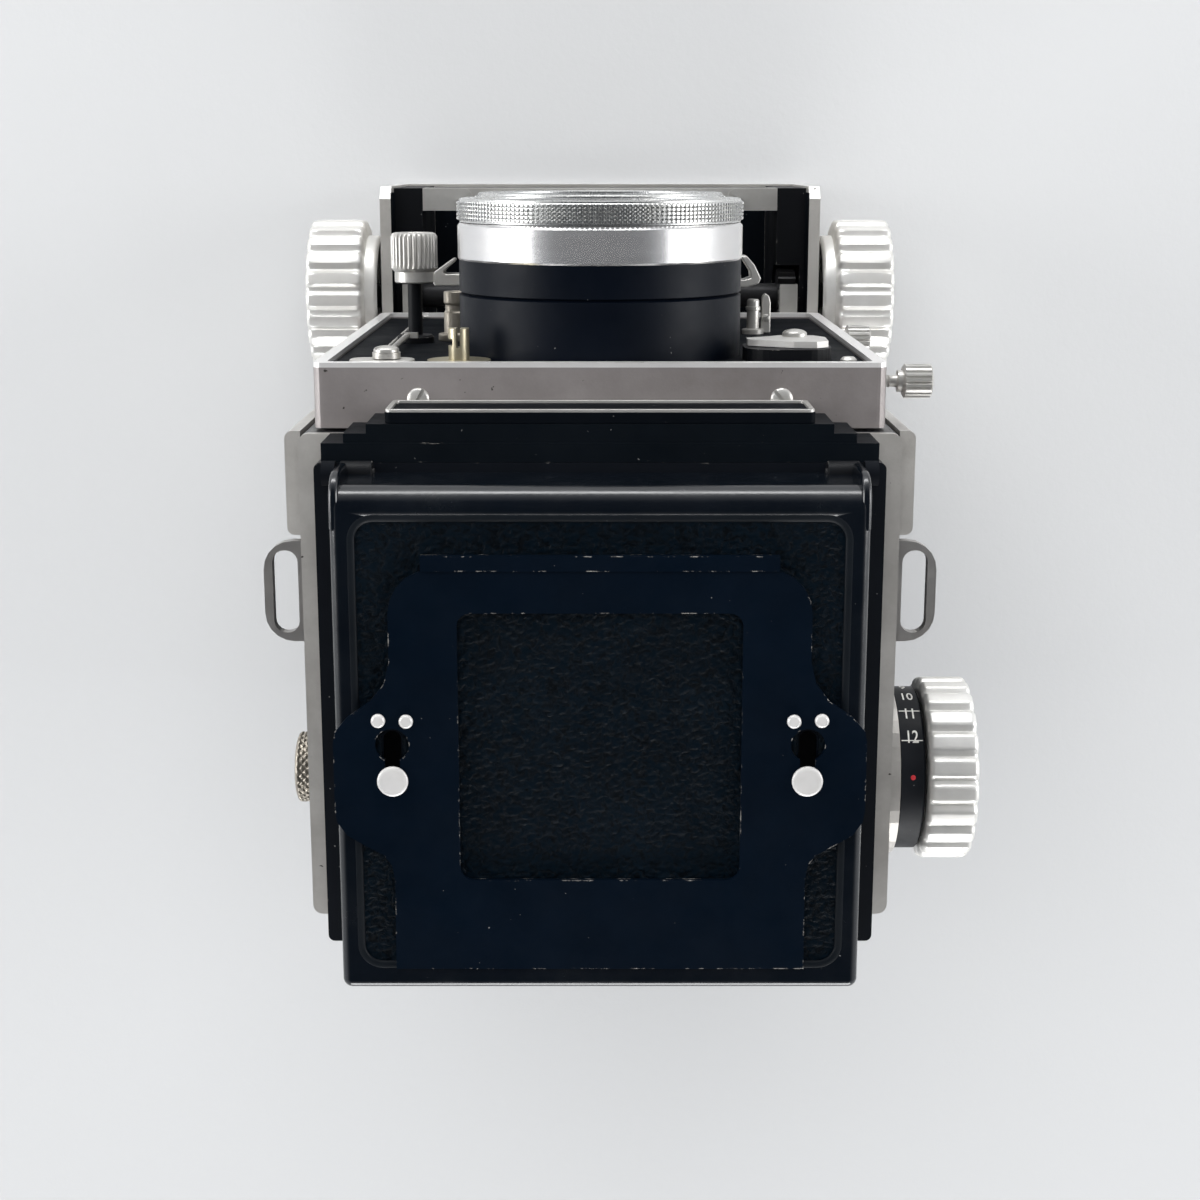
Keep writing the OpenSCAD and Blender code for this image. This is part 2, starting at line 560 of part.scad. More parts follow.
// thin mask plate with a square window and two keyholes, sliding on the lid
function mask_half() = concat(
  [for (i = [0:5]) [23.8 + 6.4 * sin(18 * i), -16.5 - 6.4 * cos(18 * i)]],
  [[30.2, -9.4], [31, -6.2], [33, -3.6], [36.4, -1.2], [38.2, 0.9], [38.5, 2.6], [38.5, 12.8],
   [38.2, 14.6], [36.8, 16.6], [34.2, 18.2], [31.6, 19.6], [30.4, 21.2], [30, 23.6], [30.1, 37.4]]);
function flip(l) = [for (i = [len(l) - 1:-1:0]) [-l[i][0], l[i][1]]];
module mask_plate() color([0.04, 0.04, 0.04]) difference() {
  union() {
    translate([0, 0, lz1 + 0.1]) linear_extrude(0.7) polygon(concat(mask_half(), flip(mask_half())));
    box(-25.4, 25.4, -25, -22.8, lz1 + 0.1, lz1 + 1.3);
  }
  translate([0, 0, lz1 - 1]) linear_extrude(4) polygon(rr(-20.4, -16.6, 20.4, 23.5, 1.9));
  both() {
    cz(2.45, lz1 - 1, lz1 + 2, 30, 2.9, 32);
    box(28.9, 31.1, 3, 7, lz1 - 1, lz1 + 2);
    cz(1.1, lz1 - 1, lz1 + 2, 30, 8.3, 24);
  }
}
// bright studs and rivets of the mask plate
module mask_studs() color([0.75, 0.75, 0.75]) both() {
  cz(1.1, lz1 - 1.8, lz1 + 0.9, 30, 8.3, 24);
  for (p = [[30, 8.3, 2.4], [31.9, -0.8, 1.1], [27.9, -0.7, 1.1]])
    translate([p[0], p[1], lz1 + 0.8]) rotate_extrude($fn = 32)
      polygon([[0, 0], [p[2], 0], [p[2], 0.35], [p[2] * 0.85, 0.6], [0, 0.7]]);
}
// folding side flaps, cut back at the front
module side_flap() {
  difference() {
    union() {
      translate([0, 0, 146.4]) linear_extrude(0.8)
        polygon([[37, -27], [37, 33.6], [8.2, 33.6], [8.2, 3], [35, -27]]);
      translate([37.2, 33.6, 146.8]) rotate([90, 0, 0]) cylinder(r = 1.1, h = 60.6, $fn = 32);
    }
    translate([37.2, 35, 146.8]) rotate([90, 0, 0]) cylinder(r = 0.55, h = 64, $fn = 32);
  }
}
module flap_left() color([0.06, 0.06, 0.06]) side_flap();
module flap_right() color([0.06, 0.06, 0.06]) mirror([1, 0, 0]) side_flap();
module flap_rear() color([0.06, 0.06, 0.06]) difference() {
  union() {
    translate([0, 0, 143.2]) linear_extrude(0.8)
      polygon([[-33, 35.6], [-33, 33.8], [-4, 5.6], [4, 5.6], [33, 33.8], [33, 35.6]]);
    cx(1.1, -33, 33, 35.9, 143.6, 32);
  }
  cx(0.55, -34, 34, 35.9, 143.6, 32);
}
// folding magnifier under the lid
module magnifier_frame() color([0.06, 0.06, 0.06]) difference() {
  union() {
    box(-9.4, 9.4, 3, 25, 161.4, 163.2);
    cx(1.2, -9.4, 9.4, 25.6, 162.4, 32);
  }
  cz(8, 160, 165, 0, 12.4, 64);
  cx(0.55, -10, 10, 25.6, 162.4, 32);
}
module magnifier_lens() color([0.7, 0.8, 0.9, 0.4]) translate([0, 12.4, 161.6]) rotate_extrude($fn = 64)
  polygon([[0, -0.5], [8, 0], [8, 1.4], [5, 1.9], [0, 2.2]]);

body_casting();
top_plate();
base_plate();
side_leather();
front_frame();
strap_lugs();
nose_block();
nameplate();
mirror_glass();
mirror_cradle();
focusing_screen();
focus_bed();
guide_rails();
bed_bar();
advance_housing();
film_rollers();
hood_base();
hinge_pins();
bellows();
focus_shaft();
focus_knobs();
front_standard();
racks();
lens_board();
viewing_barrel();
viewing_band();
filter_rings();
lens_glass();
shutter_housing();
taking_barrel();
sync_socket();
board_fittings();
hook_post();
speed_ring();
cocking_lever();
aperture_lever();
release_lever();
bail_knob();
lens_bail();
thumbscrew();
thumbscrew_lower();
takeup_spool();
supply_spool();
spool_knob_upper();
spool_knob_lower();
counter_dial();
advance_knob();
rear_door();
rear_leather();
pressure_plate();
door_latch();
hood_lid();
lid_leather();
mask_plate();
mask_studs();
flap_left();
flap_right();
flap_rear();
magnifier_frame();
magnifier_lens();
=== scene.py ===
import bpy, bmesh, json
from math import atan2, cos, hypot, pi, radians, sin, sqrt
from mathutils import Vector, Matrix, noise


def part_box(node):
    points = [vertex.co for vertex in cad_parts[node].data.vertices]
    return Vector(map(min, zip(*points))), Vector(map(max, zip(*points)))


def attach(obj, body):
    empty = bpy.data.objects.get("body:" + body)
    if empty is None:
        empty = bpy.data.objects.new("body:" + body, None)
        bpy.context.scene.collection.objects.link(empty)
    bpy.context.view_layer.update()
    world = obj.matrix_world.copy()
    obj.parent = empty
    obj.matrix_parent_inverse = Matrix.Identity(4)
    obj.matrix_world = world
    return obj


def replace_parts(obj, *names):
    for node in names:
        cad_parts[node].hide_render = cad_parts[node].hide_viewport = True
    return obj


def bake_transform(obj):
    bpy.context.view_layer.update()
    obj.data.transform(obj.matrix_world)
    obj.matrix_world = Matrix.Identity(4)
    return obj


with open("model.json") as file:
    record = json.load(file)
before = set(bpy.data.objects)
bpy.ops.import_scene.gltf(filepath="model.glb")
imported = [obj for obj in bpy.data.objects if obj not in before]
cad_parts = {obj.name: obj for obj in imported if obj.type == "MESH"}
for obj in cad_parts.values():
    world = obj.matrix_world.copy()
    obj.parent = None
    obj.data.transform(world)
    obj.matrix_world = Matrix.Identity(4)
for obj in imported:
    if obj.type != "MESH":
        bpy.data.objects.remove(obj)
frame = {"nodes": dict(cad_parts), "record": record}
noise.seed_set(7)  # the same leather grain on every run


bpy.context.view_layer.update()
NODES = frame["nodes"]
scene = bpy.context.scene
MM = 0.001
X_AXIS, Y_AXIS, Z_AXIS = Vector((1, 0, 0)), Vector((0, 1, 0)), Vector((0, 0, 1))


def linked(name, data):
    ob = bpy.data.objects.new(name, data)
    scene.collection.objects.link(ob)
    return ob


# ---- camera
TILT = radians(12.8)
CAMERA_Y, CAMERA_Z = -0.0798, 0.4374
cam_data = bpy.data.cameras.new("camera")
cam_data.sensor_width = 36.0
cam_data.lens = 58.5
cam_data.clip_start = 0.01
cam = linked("camera", cam_data)
cos_t, sin_t = cos(TILT), sin(TILT)
rows = ((-1, 0, 0, 0), (0, -cos_t, -sin_t, CAMERA_Y), (0, -sin_t, cos_t, CAMERA_Z), (0, 0, 0, 1))
cam.matrix_world = Matrix(rows)
scene.camera = cam
scene.view_settings.view_transform = "Standard"

# ---- light
OBJECT_MIDDLE = Vector((0, -0.01, 0.09))


def area_light(name, place, size, size_y, power, gloss=True):
    data = bpy.data.lights.new(name, "AREA")
    data.energy = power
    data.shape = "RECTANGLE"
    data.size = size
    data.size_y = size_y
    lamp = linked(name, data)
    lamp.location = place
    lamp.rotation_euler = (OBJECT_MIDDLE - Vector(place)).to_track_quat("-Z", "Y").to_euler()
    lamp.visible_glossy = gloss


def studio_world():
    """A pale room: bright walls round the horizon, and a darker ceiling that black gloss reflects."""
    world = bpy.data.worlds.new("studio")
    scene.world = world
    world.use_nodes = True
    tree = world.node_tree
    back = tree.nodes["Background"]
    coord = tree.nodes.new("ShaderNodeTexCoord")
    split = tree.nodes.new("ShaderNodeSeparateXYZ")
    ramp = tree.nodes.new("ShaderNodeValToRGB")
    tree.links.new(coord.outputs["Generated"], split.inputs[0])
    tree.links.new(split.outputs["Z"], ramp.inputs[0])
    stops = ((0.30, (0.93, 0.96, 1.0, 1)), (0.80, (0.035, 0.04, 0.05, 1)))
    for element, (position, color) in zip(ramp.color_ramp.elements, stops):
        element.position = position
        element.color = color
    tree.links.new(ramp.outputs[0], back.inputs[0])
    back.inputs[1].default_value = 0.80


studio_world()
area_light("key", (0.12, -0.85, 0.20), 0.9, 0.18, 4.5)
area_light("left", (0.80, -0.12, 0.34), 0.45, 0.45, 4)
area_light("right", (-0.80, -0.12, 0.34), 0.45, 0.45, 4)
area_light("rear", (-0.1, 0.85, 0.32), 0.8, 0.35, 7)
area_light("ceiling", (0.1, -0.45, 1.1), 0.9, 0.9, 8, gloss=False)

# ---- materials


class Mat:
    """A small helper round one principled material's node tree. Scales are per metre."""

    def __init__(self, name, color, metallic=0.0, rough=0.5, spec=0.5, coat=0.0, coat_rough=0.1):
        self.m = bpy.data.materials.new(name)
        self.m.use_nodes = True
        self.t = self.m.node_tree
        self.p = self.t.nodes["Principled BSDF"]
        values = {"Base Color": (*color, 1), "Metallic": metallic, "Roughness": rough, "IOR": 1.5,
                "Specular IOR Level": spec, "Coat Weight": coat, "Coat Roughness": coat_rough}
        for socket, value in values.items():
            self.p.inputs[socket].default_value = value
        self.tc = self.t.nodes.new("ShaderNodeTexCoord")
        self.last_bump = None

    def node(self, kind, **kw):
        n = self.t.nodes.new("ShaderNode" + kind)
        for k, v in kw.items():
            if hasattr(n, k):
                setattr(n, k, v)
            else:
                n.inputs[k.replace("_", " ")].default_value = v
        return n

    def link(self, a, b):
        self.t.links.new(a, b)

    def place(self, stretch):
        """Object coordinates, stretched along the axes if asked."""
        if not stretch:
            return self.tc.outputs["Object"]
        mp = self.node("Mapping")
        mp.inputs["Scale"].default_value = stretch
        self.link(self.tc.outputs["Object"], mp.inputs["Vector"])
        return mp.outputs[0]

    def noise(self, scale, detail=3.0, rough=0.6, stretch=None, warp=0.0):
        n = self.node("TexNoise", Scale=scale, Detail=detail, Roughness=rough, Distortion=warp)
        self.link(self.place(stretch), n.inputs["Vector"])
        return n.outputs["Fac"]

    def ramp(self, src, stops):
        r = self.node("ValToRGB")
        r.color_ramp.elements[0].position = stops[0][0]
        r.color_ramp.elements[1].position = stops[-1][0]
        for s in stops[1:-1]:
            r.color_ramp.elements.new(s[0])
        for el, s in zip(r.color_ramp.elements, stops):
            c = s[1]
            el.color = (c, c, c, 1) if isinstance(c, (int, float)) else (*c, 1)
        self.link(src, r.inputs[0])
        return r.outputs[0]

    def feed(self, node, values):
        """Gives each input, by its number, a constant or the output of another node."""
        for i, v in values.items():
            if hasattr(v, "links"):
                self.link(v, node.inputs[i])
            else:
                node.inputs[i].default_value = v

    def cloud(self, scale, detail, rough, low, high):
        """Noise stretched so that low becomes 0 and high 1."""
        return self.ramp(self.noise(scale, detail, rough), [(low, 0.0), (high, 1.0)])

    def mix(self, fac, a, b):
        """Mix two colours, tuples or sockets, by a factor socket."""
        n = self.node("Mix", data_type="RGBA")
        self.link(fac, n.inputs["Factor"])
        self.feed(n, {i: v if hasattr(v, "links") else (*v, 1) for i, v in ((6, a), (7, b))})
        return n.outputs[2]

    def math(self, how, a, b):
        n = self.node("Math", operation=how)
        self.feed(n, {0: a, 1: b})
        return n.outputs[0]

    def axis(self, output, letter):
        """One component of a texture coordinate."""
        split = self.node("SeparateXYZ")
        self.link(self.tc.outputs[output], split.inputs[0])
        return split.outputs[letter]

    def edge(self):
        """1 on convex and concave edges, 0 on flats."""
        b = self.node("Bevel", samples=6)
        b.inputs["Radius"].default_value = EDGE_RADIUS
        g = self.node("NewGeometry")
        d = self.node("VectorMath", operation="DOT_PRODUCT")
        self.link(b.outputs[0], d.inputs[0])
        self.link(g.outputs["Normal"], d.inputs[1])
        return self.ramp(d.outputs["Value"], [(0.80, 1.0), (0.97, 0.0)])

    def bump(self, src, dist, strength=1.0):
        b = self.node("Bump")
        b.inputs["Strength"].default_value = strength
        b.inputs["Distance"].default_value = dist
        self.link(src, b.inputs["Height"])
        if self.last_bump:
            self.link(self.last_bump, b.inputs["Normal"])
        self.last_bump = b.outputs[0]
        self.link(self.last_bump, self.p.inputs["Normal"])

    def color(self, sock):
        self.link(sock, self.p.inputs["Base Color"])

    def rough(self, sock):
        self.link(sock, self.p.inputs["Roughness"])


def satin_lacquer(name, col, rough=0.40, bright=None, rim=-1.0):
    """Fine metallic lacquer with dark chips; bright: a painted highlight, the lighter colour given to front
    faces (-Y) and to all before rim (Y).
    """
    m = Mat(name, col, metallic=0.5, rough=rough, coat=0.12, coat_rough=0.3)
    lo = tuple(c * f for c, f in zip(col, (0.80, 0.79, 0.78)))
    hi = tuple(min(1, c * 1.06) for c in col)
    cloud = m.mix(m.cloud(34, 6, 0.7, 0.34, 0.60), lo, hi)
    if bright:
        # painted highlight: faces turned to the front (-Y), toward the key lamp, and all before rim take the
        # lighter colour bright
        front = m.ramp(m.math("MULTIPLY", m.axis("Normal", "Y"), -1.0), [(0.35, 0.0), (0.7, 1.0)])
        painted_front_highlight = m.math("MAXIMUM", front, m.math("LESS_THAN", m.axis("Object", "Y"), rim))
        cloud = m.mix(painted_front_highlight, cloud, bright)
    chips = m.cloud(700, 2, 0.5, 0.735, 0.75)
    m.color(m.mix(chips, cloud, (0.05, 0.045, 0.04)))
    m.rough(m.ramp(m.noise(150, 5, 0.7), [(0.3, rough - 0.08), (0.7, rough + 0.12)]))
    m.bump(m.noise(2600, 2), 0.00004, 0.5)
    m.bump(m.noise(330, 2), 0.00004, 0.35)
    return m.m


EDGE_RADIUS = 0.00035
BARE_METAL = (0.42, 0.40, 0.37)
DUST = (0.16, 0.16, 0.16)


def black_enamel(name, col, rough, coat=0.0, wear=0.62, peel=0.3, spec=0.5, dull_above=None):
    """Black enamel: dust haze, uneven gloss, edges chipped in places; dull above a height."""
    m = Mat(name, col, rough=rough, spec=spec, coat=coat, coat_rough=0.08)
    patches = m.cloud(420, 6, 0.7, wear - 0.05, wear + 0.03)
    chipped = m.math("MULTIPLY", m.edge(), patches)
    haze = m.cloud(48, 7, 0.72, 0.35, 0.75)
    dusty = tuple(min(1, c * 1.5 + 0.0007) for c in col)
    specks = m.cloud(1500, 1, 0.5, 0.80, 0.82)
    m.color(m.mix(chipped, m.mix(specks, m.mix(haze, col, dusty), DUST), BARE_METAL))
    gloss = m.ramp(m.noise(85, 6, 0.7), [(0.3, max(0.05, rough - 0.07)), (0.75, rough + 0.13)])
    if dull_above:
        gloss = m.mix(m.math("GREATER_THAN", m.axis("Object", "Z"), dull_above), gloss, (0.8, 0.8, 0.8))
    m.rough(gloss)
    m.bump(m.noise(700, 3), 0.00005, peel)
    return m.m


def metal(name, col, rough, stretch=None, dull=0.82, metallic=1.0, speck=0.35):
    """Machined or plated metal: brushed streaks or fine speckle, and a trace of tarnish."""
    m = Mat(name, col, metallic=metallic, rough=rough)
    streaks = m.ramp(m.noise(240, 5, 0.65, stretch), [(0.3, 0.0), (0.7, 1.0)])
    stains = m.cloud(75, 6, 0.7, 0.42, 0.75)
    bright = m.mix(streaks, tuple(c * 0.9 for c in col), col)
    m.color(m.mix(stains, bright, tuple(c * dull * f for c, f in zip(col, (1.0, 0.985, 0.96)))))
    spread = min(1.0, speck * 3)
    low, high = max(0.03, rough - 0.07 * spread), rough + 0.09 * spread
    m.rough(m.ramp(m.noise(500, 4, 0.6, stretch), [(0.3, low), (0.7, high)]))
    if speck > 0.1:
        m.bump(m.noise(1700, 3, 0.6, stretch), 0.00003, speck)
    return m.m


def grained(name, col, scale, depth=0.00010):
    """Leathercloth: fine wrinkles over the modelled grain, worn glossy tops, and creases painted darker as
    painted shade.
    """
    m = Mat(name, col, rough=0.5, spec=0.11)
    fine = m.noise(scale, 4, 0.6, warp=1.2)
    crease = m.ramp(fine, [(0.36, 0.0), (0.56, 1.0)])
    worn = m.cloud(55, 5, 0.7, 0.4, 0.72)
    top = m.mix(worn, col, tuple(c * 1.5 + 0.0006 for c in col))
    # painted shade: the creases are darkened to 0.35 of the colour; the same crease mask also sets the bump
    m.color(m.mix(crease, tuple(c * 0.35 for c in col), top))
    m.rough(m.ramp(fine, [(0.35, 0.60), (0.62, 0.34)]))
    m.bump(crease, depth, 0.6)
    m.bump(m.noise(3200, 3), 0.00005, 0.5)
    return m.m


def glass(name, tint, rough=0.0):
    """Clear glass with a faint tint."""
    m = Mat(name, tint, rough=rough)
    m.p.inputs["Transmission Weight"].default_value = 0.94
    cloud = m.cloud(55, 3, 0.6, 0.3, 0.7)
    m.color(m.mix(cloud, tint, tuple(min(1.0, c * 1.06) for c in tint)))
    m.rough(m.ramp(m.noise(90, 4), [(0.4, rough), (0.8, rough + 0.03)]))
    return m.m


def paint_mark(name, col):
    """Filled engraving: flat paint, slightly patchy."""
    m = Mat(name, col, rough=0.55)
    m.color(m.mix(m.cloud(900, 3, 0.6, 0.4, 0.7), col, tuple(c * 0.72 for c in col)))
    m.bump(m.noise(2500, 2), 0.00002, 0.4)
    return m.m


MATS = {}
for slot_name, values in {
        "body_black": ((0.008, 0.008, 0.010), 0.40, 0.12),
        "gloss_black": ((0.002, 0.003, 0.005), 0.20, 0.45, 0.68),
        "matte_black": ((0.0028, 0.0032, 0.0042), 0.48, 0.0, 0.64, 0.2, 0.16),
        "spool_plastic": ((0.02, 0.02, 0.02), 0.45, 0.0, 0.9),
        "dial_black": ((0.005, 0.006, 0.008), 0.45, 0.0, 0.7, 0.3, 0.2)}.items():
    MATS[slot_name] = black_enamel(slot_name, *values)
for slot_name, values in {
        "knob_silver": ((0.88, 0.87, 0.84), 0.38, None, 0.94, 0.68, 0.2),
        "chrome": ((0.77, 0.765, 0.77), 0.22, (0.15, 1.0, 0.15), 0.97, 0.8, 0.09),
        "steel": ((0.60, 0.59, 0.565), 0.36, None, 0.82, 0.7),
        "dark_nickel": ((0.40, 0.365, 0.31), 0.36, None, 0.82, 0.8),
        "brass": ((0.56, 0.51, 0.37), 0.34, None, 0.82, 0.85),
        "mirror": ((0.88, 0.9, 0.92), 0.03)}.items():
    MATS[slot_name] = metal(slot_name, *values)
MATS["silver"] = satin_lacquer("silver", (0.50, 0.485, 0.46))
MATS["leather"] = grained("leather", (0.0011, 0.0036, 0.0066), 900.0)
MATS["bellows_cloth"] = grained("bellows_cloth", (0.012, 0.012, 0.012), 1500.0, 0.00006)
MATS["glass"] = glass("glass", (0.52, 0.58, 0.66))
MATS["ground_glass"] = glass("ground_glass", (0.9, 0.92, 0.93), 0.45)
WHITE_MARK = paint_mark("white_mark", (0.80, 0.79, 0.74))
RED_MARK = paint_mark("red_mark", (0.55, 0.02, 0.03))
DARK_MARK = paint_mark("dark_mark", (0.012, 0.012, 0.013))
KNUCKLE_Z, RIM_Y = 0.1508, -0.04825
OWN = {
    "mask_plate": black_enamel("mask_black", (0.0006, 0.0028, 0.0068), 0.45, wear=0.60, peel=0.2, spec=0.06),
    "mask_studs": metal("stud_satin", (0.70, 0.69, 0.68), 0.40, dull=0.92, metallic=0.25),
    "viewing_barrel": black_enamel("barrel_black", (0.0012, 0.0025, 0.0055), 0.42, wear=0.75, spec=0.11),
    "lens_board": black_enamel("board_black", (0.0016, 0.0025, 0.004), 0.6, wear=0.72, spec=0.04),
    "release_lever": metal("lever_satin", (0.66, 0.65, 0.63), 0.42, metallic=0.6),
    # front faces of the standard and the bed, and the standard's rim before RIM_Y, are painted lighter: a
    # painted highlight
    "front_standard": satin_lacquer("standard_silver", (0.31, 0.285, 0.28), 0.36, (0.74, 0.73, 0.72), RIM_Y),
    "focus_bed": satin_lacquer("bed_silver", (0.46, 0.445, 0.42), 0.40, (0.66, 0.65, 0.63)),
    "filter_rings": metal("ring_chrome", (0.70, 0.705, 0.70), 0.27, dull=0.97, metallic=0.95, speck=0.05),
    "focus_shaft": metal("blackened_steel", (0.022, 0.022, 0.024), 0.45, metallic=0.5),
    "nose_block": black_enamel("nose_black", (0.0015, 0.0028, 0.0045), 0.45, wear=0.66, spec=0.12),
    "strap_lugs": metal("lug_steel", (0.44, 0.425, 0.41), 0.40, metallic=0.8),
    "hinge_pins": metal("dark_pin", (0.03, 0.03, 0.032), 0.5, metallic=0.5),
    "hood_lid": black_enamel("lid_black", (0.0012, 0.0024, 0.0044), 0.19, wear=0.68, spec=0.75),
    # the hinge knuckles on top of the hood base have no gloss
    "hood_base": black_enamel("hood_black", (0.002, 0.003, 0.005), 0.32, 0.0, 0.68, 0.3, 0.13, KNUCKLE_Z),
}
OWN["taking_barrel"] = OWN["viewing_barrel"]
slot_of = {s["node"]: s["material_slot"] for s in frame["record"]["subparts"]}
for node_name, node_object in NODES.items():
    node_object.data.materials.clear()
    node_object.data.materials.append(OWN.get(node_name) or MATS[slot_of[node_name]])

# ---- mesh helpers (millimetres in, metres out)


def mesh_object(name, verts, faces, sharp=None, material=None):
    me = bpy.data.meshes.new(name)
    me.from_pydata([tuple(c * MM for c in v) for v in verts], [], faces)
    me.update()
    ob = linked(name, me)
    if material:
        me.materials.append(material)
    if sharp is not None:
        smooth(ob, sharp)
    return ob


def smooth(ob, sharp=30.0):
    me = ob.data
    me.polygons.foreach_set("use_smooth", [True] * len(me.polygons))
    if sharp < 180:
        me.set_sharp_from_angle(angle=radians(sharp))
    me.update()


def outward(ob):
    """Turns all faces of a closed mesh outwards and joins doubled points."""
    bm = bmesh.new()
    bm.from_mesh(ob.data)
    bmesh.ops.remove_doubles(bm, verts=bm.verts, dist=1e-7)
    bmesh.ops.recalc_face_normals(bm, faces=bm.faces)
    bm.to_mesh(ob.data)
    bm.free()


def bevel(ob, width, segments=2, angle=35):
    b = ob.modifiers.new("soft_edge", "BEVEL")
    b.width = width * MM
    b.segments = segments
    b.limit_method = "ANGLE"
    b.angle_limit = radians(angle)
    b.harden_normals = True
    b.use_clamp_overlap = True


def band(a, b, n):
    """Quads between two rings of n points that start at the indices a and b."""
    return [(a + i, a + (i + 1) % n, b + (i + 1) % n, b + i) for i in range(n)]


def closed_mesh(name, verts, faces, sharp):
    ob = mesh_object(name, verts, faces)
    outward(ob)
    smooth(ob, sharp)
    return ob


def piece(ob, body, slot, *stands_for, look=None):
    """Takes its own look or the slot's material, and rides on a body."""
    if not ob.data.materials:
        ob.data.materials.append(look or MATS[slot])
    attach(ob, body)
    if stands_for:
        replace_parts(ob, *stands_for)
    return ob


def on_standard(ob, slot="steel", *stands_for, look=None):
    return piece(ob, "lens_standard", slot, *stands_for, look=look)


def fillet(points, radius, closed=False):
    """A polyline with its corners rounded; each corner becomes a short curve."""
    n = len(points)
    out = []
    for i, p in enumerate(points):
        p = Vector(p)
        if not closed and i in (0, n - 1):
            out.append(tuple(p))
            continue
        a, b = Vector(points[i - 1]), Vector(points[(i + 1) % n])
        cut_a = min(radius, (a - p).length * 0.45)
        cut_b = min(radius, (b - p).length * 0.45)
        start, end = p + (a - p).normalized() * cut_a, p + (b - p).normalized() * cut_b
        for t in (0, 1 / 3, 2 / 3, 1):
            out.append(tuple(start * (1 - t) ** 2 + p * 2 * t * (1 - t) + end * t * t))
    return out


def lathe(name, profile, origin, axis, segments=96, shape=None, sharp=32.0, closed=False):
    """Turns (radius, distance) points round an axis; shape(turn, radius, distance) gives the radius."""
    axis = Vector(axis).normalized()
    side = Z_AXIS if abs(axis.z) < 0.9 else X_AXIS
    e1 = (side - axis * side.dot(axis)).normalized()
    e2 = axis.cross(e1)
    verts, faces, rings = [], [], []
    for r, a in profile:
        centre = Vector(origin) + axis * a
        rings.append((len(verts), r < 1e-6))
        if r < 1e-6:
            verts.append(centre)
            continue
        for s in range(segments):
            turn = s / segments
            rr = shape(turn, r, a) if shape else r
            ang = 2 * pi * turn
            verts.append(centre + (e1 * cos(ang) + e2 * sin(ang)) * rr)
    pairs = list(zip(rings, rings[1:])) + ([(rings[-1], rings[0])] if closed else [])
    for (low, low_is_point), (high, high_is_point) in pairs:
        if low_is_point and not high_is_point:
            faces += [(low, high + (s + 1) % segments, high + s) for s in range(segments)]
        elif high_is_point and not low_is_point:
            faces += [(low + s, low + (s + 1) % segments, high) for s in range(segments)]
        elif not low_is_point:
            faces += band(low, high, segments)
    return closed_mesh(name, verts, faces, sharp)


def pad(u, share):
    """Height 0..1 of a flat-topped tooth over one pitch; share is the width of its flat top."""
    u = u % 1.0
    return max(0.0, min(1.0, min(u, 1 - u) / ((1 - share) / 2)))


def moved(start, points):
    """Profile points whose distances along the axis count from start."""
    return [(r, start + a) for r, a in points]


def straight(r, start, length, parts):
    """Profile points of a straight wall, cut into parts for the knurling."""
    return [(r, start + length * k / parts) for k in range(parts + 1)]


def box_corners(x0, x1, y0, y1, z0, z1):
    return [Vector((x, y, z)) for z in (z0, z1) for y in (y0, y1) for x in (x0, x1)]


BOX_FACES = ((0, 2, 3, 1), (4, 5, 7, 6), (0, 1, 5, 4), (2, 6, 7, 3), (0, 4, 6, 2), (1, 3, 7, 5))


def solid_boxes(name, boxes, edge):
    """Several boxes (x0, x1, y0, y1, z0, z1) in one mesh, with soft edges."""
    verts, faces = [], []
    for box in boxes:
        faces += [tuple(len(verts) + i for i in f) for f in BOX_FACES]
        verts += box_corners(*box)
    ob = mesh_object(name, verts, faces, 30.0)
    bevel(ob, edge)
    return ob


def prism(name, outline, along, lo, hi, edge=0.15):
    """A flat plate: an outline of 2D points pushed from lo to hi along X, Y or Z, with soft edges."""
    n, at = len(outline), "xyz".index(along)
    verts = [(*p[:at], d, *p[at:]) for d in (lo, hi) for p in outline]
    faces = [tuple(range(n)), tuple(range(2 * n - 1, n - 1, -1))] + band(0, n, n)
    ob = closed_mesh(name, verts, faces, 30.0)
    if edge:
        bevel(ob, edge)
    return ob


def mid(node):
    lo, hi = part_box(node)
    return (Vector(lo) + Vector(hi)) / 2 / MM


def box_mm(node):
    lo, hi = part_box(node)
    return [c / MM for c in lo], [c / MM for c in hi]


# ---- places from the frame
view_z = mid("viewing_band").z
take_z = mid("speed_ring").z
knob_lo, knob_hi = box_mm("focus_knobs")
focus_y, focus_z = mid("focus_knobs").y, mid("focus_knobs").z
focus_r = (knob_hi[2] - knob_lo[2]) / 2
dial_lo, dial_hi = box_mm("counter_dial")
dial_mid = mid("counter_dial")
dial_r = (dial_hi[2] - dial_lo[2]) / 2
spool_y, take_up_z = dial_mid.y, dial_mid.z
supply_z = mid("spool_knob_lower").z

# ---- soft edges on the CAD pieces
SOFT = {
    0.5: ["body_casting", "rear_door"],
    0.35: ["top_plate", "base_plate", "front_frame", "focus_bed", "advance_housing", "hood_base",
        "guide_rails"],
    0.7: ["front_standard"],
    0.3: ["strap_lugs", "nose_block", "lens_board", "bed_bar", "door_latch"],
    0.2: ["viewing_barrel", "viewing_band", "shutter_housing", "taking_barrel", "hook_post", "lens_bail",
        "release_lever", "counter_dial", "pressure_plate", "magnifier_frame", "flap_left", "flap_right",
        "flap_rear"],
    0.12: ["mask_plate", "racks", "focus_shaft", "takeup_spool", "supply_spool", "film_rollers"],
}
for edge_width, names in SOFT.items():
    for n in names:
        bevel(NODES[n], edge_width)

